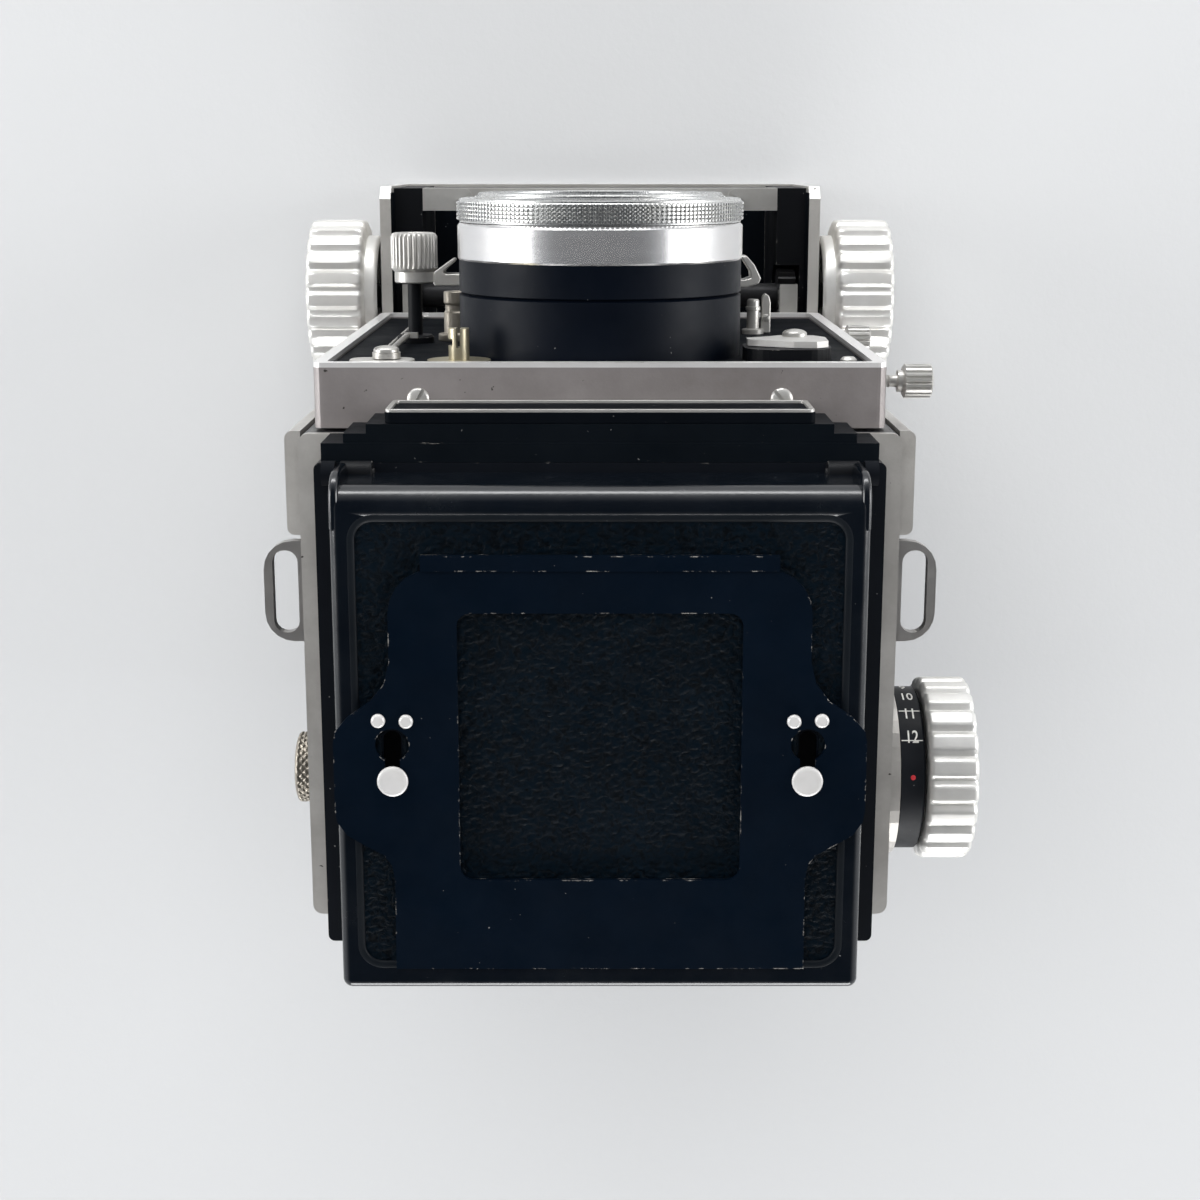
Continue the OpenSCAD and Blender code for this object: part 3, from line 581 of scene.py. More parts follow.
# ---- floor
floor_mat = Mat("floor_white", (0.56, 0.565, 0.57), rough=0.8, spec=0.1)
floor_mat.bump(floor_mat.noise(420, 4), 0.0003, 0.25)
# painted light: the floor glows more the farther it is from the middle, so its far part fades into the bright
# horizon
reach = floor_mat.node("VectorMath", operation="LENGTH")
floor_mat.link(floor_mat.tc.outputs["Object"], reach.inputs[0])
far = floor_mat.math("MULTIPLY", reach.outputs["Value"], 0.25)
glow = floor_mat.ramp(far, [(0.12, 0.0), (0.30, 0.42), (0.60, 0.60)])
floor_mat.link(glow, floor_mat.p.inputs["Emission Strength"])
floor_mat.p.inputs["Emission Color"].default_value = (0.94, 0.97, 1.0, 1)
HALF_FLOOR = 4000
corners = [(x * HALF_FLOOR, y * HALF_FLOOR, 0) for x, y in ((-1, -1), (1, -1), (1, 1), (-1, 1))]
floor = mesh_object("floor", corners, [(0, 1, 2, 3)], material=floor_mat.m)

# ---- knurled and fluted pieces
RING_TEETH, RING_ROWS = 180, 5


def knurled_ring(name, z):
    """Filter ring with square knurling: rows of small pads round the rim."""
    lo, hi = box_mm("filter_rings")
    front, back, outer = -hi[1], -lo[1], (hi[0] - lo[0]) / 2
    start, end = front + 0.42, back - 0.45
    pitch = (end - start) / RING_ROWS
    profile = moved(front, [(20.6, 0), (outer - 0.75, 0), (outer - 0.45, 0.15)])
    profile.append((outer - 0.42, start - 0.06))
    for row in range(RING_ROWS):
        profile += [(outer, start + pitch * (row + s)) for s in (0.0, 0.24, 0.76)]
    profile += [(outer, end), (outer - 0.42, end + 0.06), (outer - 0.45, back - 0.14), (outer - 0.7, back),
            (21.6, back), (21.35, back - 0.2)]
    profile += [(21.35 - 0.12 * (k % 2), back - 0.4 - 0.22 * k) for k in range(8)]
    profile += [(20.6, front + 1.2)]

    def tooth(turn, r, a):
        if r < outer - 0.1:
            return r
        row = pad((a - start) / pitch, 0.5) if start < a < end else 0.0
        return r - 0.34 + 0.34 * min(pad(turn * RING_TEETH, 0.5), row)

    ring = lathe(name, profile, (0, 0, z), -Y_AXIS, RING_TEETH * 4, tooth, 34, closed=True)
    on_standard(ring, "knob_silver", "filter_rings", look=OWN["filter_rings"])


knurled_ring("filter_ring_viewing", view_z)
knurled_ring("filter_ring_taking", take_z)


def knurl(teeth, depth, zone, share=0.5, run=0.35, lead=0.0):
    """Shape function: grooves along the axis in zone (from, to, least radius), fading out over run.
    With a lead, two sets of grooves climb and cross, so small diamonds stand between them."""
    start, end, least = zone

    def shape(turn, r, a):
        if not start < a < end or r < least:
            return r
        climb = (a - start) / lead if lead else 0.0
        high = min(pad(turn * teeth + climb, share), pad(turn * teeth - climb, share))
        return r - depth * (1 - high) * min(1.0, (a - start) / run, (end - a) / run)
    return shape


def flutes(depth, half, zone):
    """Shape function: rounded flutes between slightly crowned ridges, wider towards both ends."""
    def shape(turn, r, a):
        if not zone[0] <= a <= zone[1] or r < zone[2]:
            return r
        u = abs((turn * FLUTES) % 1.0 - 0.5) * 2
        wide = half + 0.18 * max(0.0, 1 - min(a - zone[0], zone[1] - a) / 1.3)
        return r - depth * cos(u / wide * pi / 2) ** 1.3 if u < wide else r
    return shape


FLUTES = 22


ROUND_OVER = 0.9


def fluted_rim(r, start, end):
    """Profile points of a fluted rim with rounded ends."""
    quarter = [radians(90 * k / 4) for k in range(5)]
    near, far_end = start + ROUND_OVER, end - ROUND_OVER
    low = r - ROUND_OVER
    pts = [(low + ROUND_OVER * sin(t), near - ROUND_OVER * cos(t)) for t in quarter]
    pts += [(r, near + (end - start - 2 * ROUND_OVER) * k / 7) for k in range(1, 7)]
    return pts + [(low + ROUND_OVER * cos(t), far_end + ROUND_OVER * sin(t)) for t in quarter]


def fluted_knob(name, body, place, axis, stem, rim, face, half, zone):
    knob = lathe(name, stem + rim + face, place, axis, FLUTES * 12, flutes(0.85, half, zone), 38)
    piece(knob, body, "knob_silver", "focus_knobs" if body == "focus_drive" else body)


def focus_knob(name, side):
    inner, outer = min(abs(knob_lo[0]), 45.2), knob_hi[0]
    face = moved(outer, [(12.9, -0.05), (12.6, -0.55), (11.4, -0.75), (10.9, -0.45), (4.2, -0.45),
            (3.9, -0.9), (3.1, -0.9), (2.9, -0.35), (0, -0.25)])
    stem = moved(inner, [(11.4, 0), (12.0, 0.3), (12.25, 0.8), (12.25, 2.5), (14.1, 2.7)])
    fluted_knob(name, "focus_drive", (0, focus_y, focus_z), X_AXIS * side, stem,
            fluted_rim(focus_r, inner + 2.9, outer), face, 0.5, (inner + 2.6, outer + 0.1, focus_r - 2.0))


focus_knob("focus_knob_left", 1)
focus_knob("focus_knob_right", -1)


def advance_knob():
    lo, hi = box_mm("advance_knob")
    r = (hi[2] - lo[2]) / 2
    outer, inner = -lo[0], -lo[0] - 8.3
    face = moved(outer, [(12.9, -0.05), (12.5, -0.5), (8.4, -0.5), (8.0, -0.8), (4.6, -0.8), (4.3, -0.3),
            (3.8, -0.15), (0, -0.1)])
    stem = moved(-hi[0], [(0, 0), (2.3, 0), (2.5, 0.3)])
    stem += moved(inner, [(2.5, 0.9), (11.9, 0.9), (12.4, 0.2), (13.2, 0)])
    fluted_knob("advance_knob_fluted", "advance_knob", (0, spool_y, take_up_z), -X_AXIS, stem,
            fluted_rim(r, inner + 0.1, outer), face, 0.42, (inner, outer + 0.1, r - 2.0))


advance_knob()


def spool_knob(node):
    lo, hi = box_mm(node)
    z, r = (lo[2] + hi[2]) / 2, (hi[2] - lo[2]) / 2
    grip = hi[0] - 4.8
    profile = moved(lo[0], [(0, 0), (1.8, 0), (2.0, 0.3)])
    profile += moved(grip, [(2.0, 0), (r - 0.7, 0), (r - 0.15, 0.3)]) + straight(r, grip + 0.5, 3.8, 24)
    profile += moved(hi[0], [(r - 0.2, -0.25), (r - 0.8, 0), (r - 1.6, 0), (r - 1.8, -0.25), (1.7, -0.25),
            (1.5, -0.05), (0, 0)])
    diamonds = knurl(26, 0.34, (grip + 0.4, hi[0] - 0.4, 3.0), 0.3, 0.3, 1.25)
    knob = lathe(node + "_knurled", profile, (0, spool_y, z), X_AXIS, 208, diamonds, 45)
    piece(knob, node, "dark_nickel", node)


spool_knob("spool_knob_upper")
spool_knob("spool_knob_lower")


def thumbscrew(name, node):
    lo, hi = box_mm(node)
    y, z, r = (lo[1] + hi[1]) / 2, (lo[2] + hi[2]) / 2, (hi[2] - lo[2]) / 2
    tip, head, outer = -hi[0], -lo[0] - 4.6, -lo[0]
    profile = [(0, tip), (0.8, tip)] + [(1.0 - 0.14 * (k % 2), tip + 0.25 * k) for k in range(1, 14)]
    profile += moved(head, [(1.0, -0.9), (1.7, -0.8), (1.7, 0), (r - 0.5, 0)])
    profile += straight(r, head + 0.3, 4.0, 8)
    profile += moved(outer, [(r - 0.35, -0.05), (r - 0.7, 0), (r - 1.0, -0.2), (0, -0.12)])
    grooves = knurl(18, 0.32, (head + 0.1, outer - 0.15, 2.0))
    piece(lathe(name, profile, (0, y, z), -X_AXIS, 144, grooves, 40), node, "steel", node)


thumbscrew("thumbscrew_upper_knurled", "thumbscrew")
thumbscrew("thumbscrew_lower_knurled", "thumbscrew_lower")
KNOB_X = 32.4


def bail_knob():
    lo, hi = box_mm("bail_knob")
    r = (hi[0] - lo[0]) / 2
    back, front = -hi[1], -lo[1]
    profile = moved(back, [(1.35, 1.5), (3.2, 1.5), (3.45, 1.7), (3.45, 3.4), (3.8, 3.7)])
    profile += straight(r, back + 4.1, 5.3, 8)
    profile += moved(front, [(r - 0.35, -0.15), (r - 0.8, 0), (2.4, 0), (2.2, -0.3), (1.35, -0.3)])
    grooves = knurl(28, 0.3, (back + 4.0, front - 0.2, 3.6))
    place = (KNOB_X, 0, mid("bail_knob").z)
    knob = lathe("lens_release_knob", profile, place, -Y_AXIS, 28 * 6, grooves, 40, True)
    piece(knob, "bail_knob", "steel", "bail_knob")


bail_knob()

# ---- exposure counter figures
FIGURE_STEP = 18.8
FIRST_FIGURE = 38.0
TO_MM = Matrix.Scale(1 / MM, 4)


def wrap_on_dial(ob, angle):
    """Rolls a flat mesh (x across the rim, y round it) onto the dial, at an angle from +Z to -Y."""
    r = dial_r + 0.03
    for v in ob.data.vertices:
        a = radians(angle) + v.co.y / r
        rr = r + v.co.z
        v.co = Vector((dial_mid.x - v.co.x, spool_y - rr * sin(a), take_up_z + rr * cos(a))) * MM
    ob.data.update()


def applied(ob):
    """The mesh of an object with its modifiers applied."""
    bpy.context.view_layer.update()
    return bpy.data.meshes.new_from_object(ob.evaluated_get(bpy.context.evaluated_depsgraph_get()))


def text_mesh(name, body, size, squeeze):
    curve = bpy.data.curves.new(name, "FONT")
    curve.body = body
    curve.size = size
    curve.align_x = "CENTER"
    curve.align_y = "CENTER"
    curve.extrude = 0.02
    curve.offset = 0.03
    ob = linked(name, curve)
    me = applied(ob)
    bpy.data.objects.remove(ob)
    bpy.data.curves.remove(curve)
    me.transform(Matrix.Diagonal((squeeze, 1, 1, 1)))
    return linked(name, me)


def dial_figures():
    line_angle = {11: 2.6, 12: -2.4}
    for count in range(1, 13):
        angle = FIRST_FIGURE + (12 - count) * FIGURE_STEP
        marks = [text_mesh(f"dial_figure_{count}", str(count), 3.1, 0.72)]
        wrap_on_dial(marks[0], angle)
        if count in line_angle:
            verts = [(3.5 * i / 4 - 1.75, y, 0.03) for y in (-0.09, 0.09) for i in range(5)]
            quads = [(i, i + 1, i + 6, i + 5) for i in range(4)]
            marks.append(mesh_object(f"dial_line_{count}", verts, quads))
            marks[1].data.transform(TO_MM)
            wrap_on_dial(marks[1], angle + line_angle[count])
        for mark in marks:
            piece(mark, "counter_dial", "dial_black", look=WHITE_MARK)
    dot = lathe("dial_red_dot", [(0, 0.06), (0.3, 0.05), (0.42, 0.0)], (0, 0, 0), Z_AXIS, 20)
    dot.data.transform(TO_MM)
    wrap_on_dial(dot, 10)
    piece(dot, "counter_dial", "dial_black", look=RED_MARK)


dial_figures()

# ---- leather panels


CELLS_ALONG, CELLS_ACROSS = 0.85, 1.6  # cells per millimetre


def wrinkle(u, v):
    """Height 0..1 of leather grain at u, v (millimetres): flat irregular cells, parted by creases."""
    warp = noise.noise_vector(Vector((u * 0.33, v * 0.33, 3.1))) * 0.75
    p = Vector((u * CELLS_ALONG + warp.x, v * CELLS_ACROSS + warp.y, 0.0))
    near = noise.voronoi(p)[0]
    crease = min(1.0, (near[1] - near[0]) * 2.6)
    return 0.75 * crease ** 0.7 + 0.25 * (0.5 + noise.noise(p * 2.3))


def rect_inside(x0, x1, y0, y1, r):
    """Distance inside a rounded rectangle (positive inside)."""
    cx, cy, hx, hy = (x0 + x1) / 2, (y0 + y1) / 2, (x1 - x0) / 2 - r, (y1 - y0) / 2 - r

    def inside(u, v):
        dx, dy = abs(u - cx) - hx, abs(v - cy) - hy
        return r - hypot(max(dx, 0), max(dy, 0)) - min(max(dx, dy), 0)
    return inside


def disc_outside(cx, cy, r):
    return lambda u, v: hypot(u - cx, v - cy) - r


def minus(inside_hole):
    return lambda u, v: -inside_hole(u, v)


def leather_panel(name, body, node, box, corner, cuts, step, place, height, grain, edge):
    """A leather sheet over box (u0, u1, v0, v1): a fine grid with grain, whose edges roll down."""
    u0, u1, v0, v1 = box
    nu, nv = round((u1 - u0) / step[0]), round((v1 - v0) / step[1])
    limits = [rect_inside(*box, corner)] + cuts

    def inside(u, v):
        return min(f(u, v) for f in limits)

    def point(i, j):
        return u0 + (u1 - u0) * i / nu, v0 + (v1 - v0) * j / nv

    far = max(step)
    dist = {(i, j): inside(*point(i, j)) for i in range(nu + 1) for j in range(nv + 1)}
    keep = [(i, j) for i in range(nu) for j in range(nv)
            if max(dist[i, j], dist[i + 1, j], dist[i, j + 1], dist[i + 1, j + 1]) > 0
            and inside((point(i, j)[0] + point(i + 1, j)[0]) / 2,
            (point(i, j)[1] + point(i, j + 1)[1]) / 2) > 0]
    index, verts, faces = {}, [], []

    def vert(i, j):
        if (i, j) not in index:
            u, v = point(i, j)
            d = dist[i, j]
            if d < far * 0.75:
                for _ in range(3):
                    gu = (inside(u + 0.02, v) - inside(u - 0.02, v)) / 0.04
                    gv = (inside(u, v + 0.02) - inside(u, v - 0.02)) / 0.04
                    slope = gu * gu + gv * gv
                    if d < 0 and slope > 1e-6:
                        u, v = u - gu * d / slope, v - gv * d / slope
                        d = inside(u, v)
                d = max(d, 0.0)
            roll = 1.0 if d >= edge else sqrt(max(0.0, 1 - (1 - d / edge) ** 2))
            h = height * roll + grain * (wrinkle(u, v) - 1.0) * min(1.0, d / edge)
            index[i, j] = len(verts)
            verts.append(place(u, v, max(0.0, h)))
        return index[i, j]

    for i, j in keep:
        faces.append((vert(i, j), vert(i + 1, j), vert(i + 1, j + 1), vert(i, j + 1)))
    piece(mesh_object(name, verts, faces, 180), body, "leather", node)


def face_of(node, a, b, wider=0.0):
    """The node's box along two of its axes, made wider all round."""
    lo, hi = box_mm(node)
    return lo[a] - wider, hi[a] + wider, lo[b] - wider, hi[b] + wider


lid_lo, lid_hi = box_mm("lid_leather")
rear_lo, rear_hi = box_mm("rear_leather")
side_skin = abs(box_mm("side_leather")[0][0])
COARSE = (0.5, 0.42)
THICK = 0.6

leather_panel("lid_leather_sheet", "hood_lid", "lid_leather", face_of("lid_leather", 0, 1), 3.0,
        [minus(rect_inside(x - 1.5, x + 1.5, 1, 10, 1.4)) for x in (30.1, -30.1)], (0.34, 0.27),
        lambda u, v, h: (u, v, lid_lo[2] + h), lid_hi[2] - lid_lo[2], 0.34, 0.7)
leather_panel("rear_leather_sheet", "rear_door", "rear_leather", face_of("rear_leather", 0, 2), 2.0,
        [minus(rect_inside(-7, 7, 112, 132, 1.5))], COARSE,
        lambda u, v, h: (-u, rear_lo[1] + h, v), rear_hi[1] - rear_lo[1], 0.26, 0.6)
# on the winding side the sheet is cut out round the housing, on the other round both spool knobs
housing = minus(rect_inside(*face_of("advance_housing", 1, 2, 0.6), 14.0))
knobs = [disc_outside(spool_y, z, 6.4) for z in (take_up_z, supply_z)]
for side, name, cuts in ((-1, "side_leather_right", [housing]), (1, "side_leather_left", knobs)):
    leather_panel(name, "camera_body", "side_leather", face_of("side_leather", 1, 2), 2.0, cuts, COARSE,
            lambda u, v, h, s=side: (s * (side_skin - THICK + h), u, v), THICK, 0.26, 0.6)

# ---- more helpers


def carve(ob, *tools):
    """Subtracts closed meshes from a closed mesh."""
    for tool in tools:
        mod = ob.modifiers.new("cut", "BOOLEAN")
        mod.operation = "DIFFERENCE"
        mod.object = tool
    made = applied(ob)
    ob.modifiers.clear()
    ob.data = made
    for tool in tools:
        bpy.data.objects.remove(tool)
    smooth(ob, 32.0)


def polar(c0, c1, r, a0, a1, steps):
    """Points of an arc round (c0, c1) from a0 to a1 degrees."""
    turns = [radians(a0 + (a1 - a0) * k / steps) for k in range(steps + 1)]
    return [(c0 + r * cos(t), c1 + r * sin(t)) for t in turns]


def screw_head(name, place, axis, r, height, slot_angle):
    """A slotted round head on the lens standard; place is the middle of its underside."""
    step = height * 0.35
    profile = [(0, 0), (r, 0), (r, step)]
    for k in range(1, 9):
        t = radians(90 * k / 8)
        profile.append((r * cos(t), step + height * 0.65 * sin(t)))
    profile[-1] = (0, height)
    head = lathe(name, profile, place, axis, 48, sharp=38)
    axis = Vector(axis)
    turn = Matrix.Rotation(radians(slot_angle), 3, axis) @ axis.to_track_quat("Z", "Y").to_matrix()
    long, wide, deep = r * 1.5, r * 0.15, height * 0.55
    centre = Vector(place) + axis * height
    slot = [turn @ c + centre for c in box_corners(-long, long, -wide, wide, -deep, deep)]
    carve(head, mesh_object("cutter", slot, BOX_FACES))
    return on_standard(head)


def tube(name, path, r, closed=False, sides=10, squash=1.0):
    """A rod along a path of points (millimetres)."""
    pts = [Vector(p) for p in path]
    n = len(pts)
    verts, faces = [], []
    for i, p in enumerate(pts):
        a = pts[i - 1] if closed or i else p
        b = pts[(i + 1) % n] if closed or i < n - 1 else p
        along = (b - a).normalized()
        flat = (Z_AXIS if abs(along.z) < 0.95 else X_AXIS).cross(along).normalized()
        rise = along.cross(flat)
        for s in range(sides):
            t = 2 * pi * s / sides
            verts.append(p + flat * r * cos(t) + rise * r * squash * sin(t))
    for i in range(n if closed else n - 1):
        faces += band(i * sides, (i + 1) % n * sides, sides)
    if not closed:
        faces += [tuple(range(sides)), tuple(range(n * sides - 1, (n - 1) * sides - 1, -1))]
    return closed_mesh(name, verts, faces, 50)


def round_rect(x0, x1, y0, y1, r, steps=6):
    corners = ((x1 - r, y0 + r, -90), (x1 - r, y1 - r, 0), (x0 + r, y1 - r, 90), (x0 + r, y0 + r, 180))
    return [p for cx, cy, a in corners for p in polar(cx, cy, r, a, a + 90, steps)]


# ---- bellows
PLEATS = 12
FOLD_DEPTH, END_DEPTH, CLOTH = 2.6, 1.0, 0.55


def bellows():
    lo, hi = box_mm("bellows")
    rear, front = hi[1], lo[1]
    count = PLEATS * 2 + 1
    verts, faces = [], []
    for skin in (0.0, CLOTH):
        for k in range(count):
            d = skin + (END_DEPTH if k in (0, count - 1) else 0.0 if k % 2 else FOLD_DEPTH)
            outline = round_rect(*face_of("bellows", 0, 2, -d), 3.2, 4)
            verts += [(x, rear + (front - rear) * k / (count - 1), z) for x, z in outline]
    n = len(outline)
    for start in (0, count * n):
        for i in range(count - 1):
            faces += band(start + i * n, start + (i + 1) * n, n)
    for i in (0, count - 1):
        faces += band(i * n, (count + i) * n, n)
    ob = closed_mesh("bellows_pleated", verts, faces, 40)
    ob.data.materials.append(MATS["bellows_cloth"])
    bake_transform(ob)
    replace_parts(ob, "bellows")


bellows()

# ---- lenses


def lens_element(name, z, r, back, edge, thick, front):
    """A biconvex element; back, front and edge are the distances of its vertices and rear rim along -Y."""
    rear = [(r * k / 11, back + (edge - back) * (k / 11) * (k / 11)) for k in range(12)]
    fore = [(r * t, front - (front - edge - thick) * t * t) for t in (1 - k / 13 for k in range(14))]
    ob = lathe(name, rear + fore, (0, 0, z), -Y_AXIS, 96, sharp=50)
    on_standard(ob, "glass", "lens_glass")


lens_element("viewing_front_element", view_z, 17.4, 52.5, 55.0, 2.0, 59.6)
lens_element("taking_front_element", take_z, 12.9, 54.5, 57.0, 2.0, 61.6)


WALL = 0.5


def ribbed_cone(name, z, start, end, ribs):
    """Black ribbed cone in front of an element, from start to end, each (radius, distance along -Y)."""
    profile = [(start[0] + WALL, start[1]), (end[0] + WALL, end[1]), (end[0], end[1])]
    for k in range(ribs * 2):
        t = 1 - (k + 0.5) / (ribs * 2)
        r = start[0] + (end[0] - start[0]) * t + (0.0 if k % 2 else 0.22)
        profile.append((r, start[1] + (end[1] - start[1]) * t))
    profile.append((start[0], start[1]))
    ob = lathe(name, profile, (0, 0, z), -Y_AXIS, 96, closed=True)
    on_standard(ob, "matte_black", look=OWN["lens_board"])


ribbed_cone("viewing_baffle", view_z, (16.6, 59.3), (18.3, 68.9), 9)
ribbed_cone("taking_baffle", take_z, (12.2, 60.6), (19.3, 69.2), 9)


def shutter_blades():
    """Five thin overlapping leaves that close the taking lens, behind its front element."""
    verts, faces = [], []
    leaf = [(-0.4, -0.5)] + polar(0, 0, 12.7, -8, 92, 10) + [(0.25, 5.3), (-0.1, 3.4), (-0.45, 1.5)]
    n = len(leaf)
    for number in range(5):
        turn = radians(72 * number)
        base = len(verts)
        for level in (0.0, 0.12):
            for x, z in leaf:
                y = -52.9 - level - 0.22 * atan2(z, x + 0.001)
                across = x * cos(turn) - z * sin(turn)
                verts.append((across, y, take_z + (x * sin(turn) + z * cos(turn))))
        faces.append(tuple(range(base, base + n)))
        faces.append(tuple(range(base + 2 * n - 1, base + n - 1, -1)))
        faces += band(base, base + n, n)
    ob = mesh_object("shutter_leaves", verts, faces, 25)
    on_standard(ob, "dark_nickel", look=OWN["focus_shaft"])


shutter_blades()


def speed_ring():
    lo, hi = box_mm("speed_ring")
    back, front, r = -hi[1], -lo[1], (hi[0] - lo[0]) / 2
    profile = [(20.1, back), (r - 0.5, back), (r - 0.15, back + 0.12)]
    profile += straight(r, back + 0.4, front - back - 0.8, 6)
    profile += [(r - 0.15, front - 0.12), (r - 0.5, front), (20.1, front)]

    def notches(turn, rad, a):
        """Grip teeth all round except at the top, where the figures are."""
        from_top = abs((turn * 360 + 180) % 360 - 180)
        if rad < r - 0.05 or from_top < 62:
            return rad
        return rad - 0.45 * (1 - pad(turn * 90, 0.5))

    ring = lathe("speed_ring_toothed", profile, (0, 0, take_z), -Y_AXIS, 540, notches, 32, closed=True)
    piece(ring, "speed_ring", "silver", "speed_ring")
    middle = -(back + front) / 2
    for i, value in enumerate(("500", "250", "100", "50", "25", "10", "5", "2", "1", "B")):
        mark = text_mesh(f"speed_figure_{value}", value, 1.9, 0.8)
        angle = radians((i - 4.5) * 12.5)
        for v in mark.data.vertices:
            a = angle + v.co.x / r
            rr = r + 0.02 + v.co.z
            v.co = Vector((-rr * sin(a), middle - v.co.y, take_z + rr * cos(a))) * MM
        piece(mark, "speed_ring", "silver", look=DARK_MARK)


speed_ring()

# ---- bed liner, lid moulding, tripod bush, screen lines, latch ridges
np_lo, np_hi = box_mm("nameplate")
bed_lo, bed_hi = box_mm("focus_bed")
bed_inner = bed_hi[0] - 2.2
body_front = box_mm("body_casting")[0][1] - 0.05
boxes = [(-36.1, 36.1, bed_lo[1] + 0.6, body_front, 2.2, 2.4)]
for side in (1, -1):
    ends = sorted((side * (bed_inner - 0.12), side * bed_inner))
    boxes.append((*ends, bed_lo[1] + 1.2, body_front, 31.0, 37.7))
piece(solid_boxes("bed_liner", boxes, 0.04), "camera_body", "matte_black", look=OWN["lens_board"])

rim = round_rect(lid_lo[0] - 0.05, lid_hi[0] + 0.05, lid_lo[1] - 0.15, lid_hi[1] + 0.05, 3.3, 8)
moulding = tube("lid_moulding", [(x, y, lid_hi[2] - 0.02) for x, y in rim], 0.74, True, 14, 0.5)
dull_black = black_enamel("moulding_black", (0.002, 0.0035, 0.0055), 0.5, wear=0.72, spec=0.22)
piece(moulding, "hood_lid", "gloss_black", look=dull_black)

thread = [(3.1 - 0.28 * (k % 2), 3.2 - 0.24 * k) for k in range(13)]
bush = lathe("tripod_bush", fillet([(2.65, 0.05), (5.2, 0.05), (5.2, 3.4), (3.1, 3.4)], 0.25) + thread,
        (0, 0, 0), Z_AXIS, 64, closed=True)
piece(bush, "camera_body", "steel")

screen_lo, screen_hi = box_mm("focusing_screen")
top, line_top = screen_hi[2], screen_hi[2] + 0.03
lines = [(x - 0.06, x + 0.06, screen_lo[1] + 2, screen_hi[1] - 2, top, line_top) for x in (-14, 0, 14)]
lines += [(screen_lo[0] + 2, screen_hi[0] - 2, y - 0.06, y + 0.06, top, line_top) for y in (-16, -2, 12)]
piece(solid_boxes("screen_guide_lines", lines, 0.005), "camera_body", "matte_black")

latch_y = box_mm("door_latch")[1][1]
ridges = [(-4.2, 4.2, latch_y - 0.05, latch_y + 0.4, 119.9 + 1.15 * k, 120.4 + 1.15 * k) for k in range(4)]
piece(solid_boxes("door_latch_ridges", ridges, 0.16), "door_latch", "silver")

# ---- board fittings
RELEASE_X, RELEASE_Z = -31.6, 118.9
BAIL_X, BAIL_Z = 33.4, 131.5
SCREW_Z = box_mm("front_standard")[1][2] - 0.05
for x, name, angle in ((-28, "standard_screw_right", 130), (28, "standard_screw_left", 62)):
    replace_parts(screw_head(name, (x, -43.4, SCREW_Z), Z_AXIS, 1.75, 1.0, angle), "board_fittings")
screw_head("release_pivot_screw", (RELEASE_X, -51.4, RELEASE_Z), -Y_AXIS, 2.0, 1.2, 20)
screw_head("bail_pivot_screw", (BAIL_X, -50.1, BAIL_Z), -Y_AXIS, 2.0, 1.0, 35)
bail_plate = prism("bail_plate", round_rect(29, 39.2, 128.6, 134.4, 2.4), "y", -47.9, -49.0, 0.25)
on_standard(bail_plate)
profile = [(0, 47.9), (3.2, 47.9), (3.2, 49.0), (2.9, 49.35), (1.25, 49.4), (1.25, 65.4), (0.9, 65.8),
        (0, 65.8)]
stud = lathe("lens_release_stud", profile, (KNOB_X, 0, 92.6), -Y_AXIS, 40)
on_standard(stud, "matte_black")

# ---- lid of the hood


LID_HALF, LID_BACK, LID_TOP = box_mm("hood_lid")[1]
LID_FLOOR = 152.0
LID_NOSE = -34.5
side_view = [(LID_BACK, LID_FLOOR)] + polar(LID_BACK - 1.4, LID_TOP - 1.4, 1.4, 0, 90, 6)
side_view += polar(LID_NOSE + 3.2, LID_TOP - 3.2, 3.2, 90, 180, 14) + [(LID_NOSE, LID_FLOOR)]
lid_shell = prism("lid_shell", side_view, "x", -LID_HALF, LID_HALF, 0)
bevel(lid_shell, 1.6, 5, 60)
hollows = ((-LID_HALF + 1.8, LID_HALF - 1.8, -29.4, 38.2, 150, LID_TOP - 2.6),
        (-33, 33, -32.5, -29, 150, LID_TOP - 5), (-8, 8, 37, 43, 150, 153.6))
cutters = [solid_boxes("cutter", [hollow], 0) for hollow in hollows]
cutters.append(prism("cutter", round_rect(-35.6, 35.6, -30.4, 37.4, 3.2), "z", LID_TOP - 0.9, LID_TOP + 1, 0))
for x in (-30.1, 30.1):
    cutters.append(prism("cutter", round_rect(x - 1.3, x + 1.3, 1.2, 9.8, 1.25), "z", 160, 170, 0))
carve(lid_shell, *cutters)
lid_shell.modifiers.new("even_shading", "WEIGHTED_NORMAL").keep_sharp = True
piece(lid_shell, "hood_lid", "gloss_black", "hood_lid", look=OWN["hood_lid"])
cheek_view = [(-28, 154.4), (-28, LID_TOP - 0.15)] + polar(-32.4, LID_TOP - 4.1, 4, 90, 180, 12)
cheek_view += [(-36.4, 156), (-35.4, 154.4)]
knuckle_ring = fillet([(0.86, 33.4), (1.85, 33.4), (1.85, 38.2), (0.86, 38.2)], 0.25, closed=True)
for side, hand in ((-1, "right"), (1, "left")):
    ends = sorted((side * 36.9, side * (LID_HALF - 0.02)))
    cheek = prism("lid_cheek_" + hand, cheek_view, "x", *ends, 0.55)
    piece(cheek, "hood_lid", "gloss_black", "hood_lid", look=OWN["hood_lid"])
    knuckle = lathe("lid_knuckle_" + hand, knuckle_ring, (0, -34.4, 153.4), X_AXIS * side, 40, closed=True)
    piece(knuckle, "hood_lid", "matte_black", "hood_lid")
brackets = [(x, x + 1.7, 23.6, 27.6, 160.6, LID_TOP - 2.5) for x in (-11.6, 9.9)]
piece(solid_boxes("magnifier_brackets", brackets, 0.2), "hood_lid", "matte_black", "hood_lid")
profile = [(0, -11.7), (0.5, -11.7), (0.5, 11.7), (0, 11.7)]
piece(lathe("magnifier_pin", profile, (0, 25.6, 162.4), X_AXIS, 24), "hood_lid", "steel", "hood_lid")

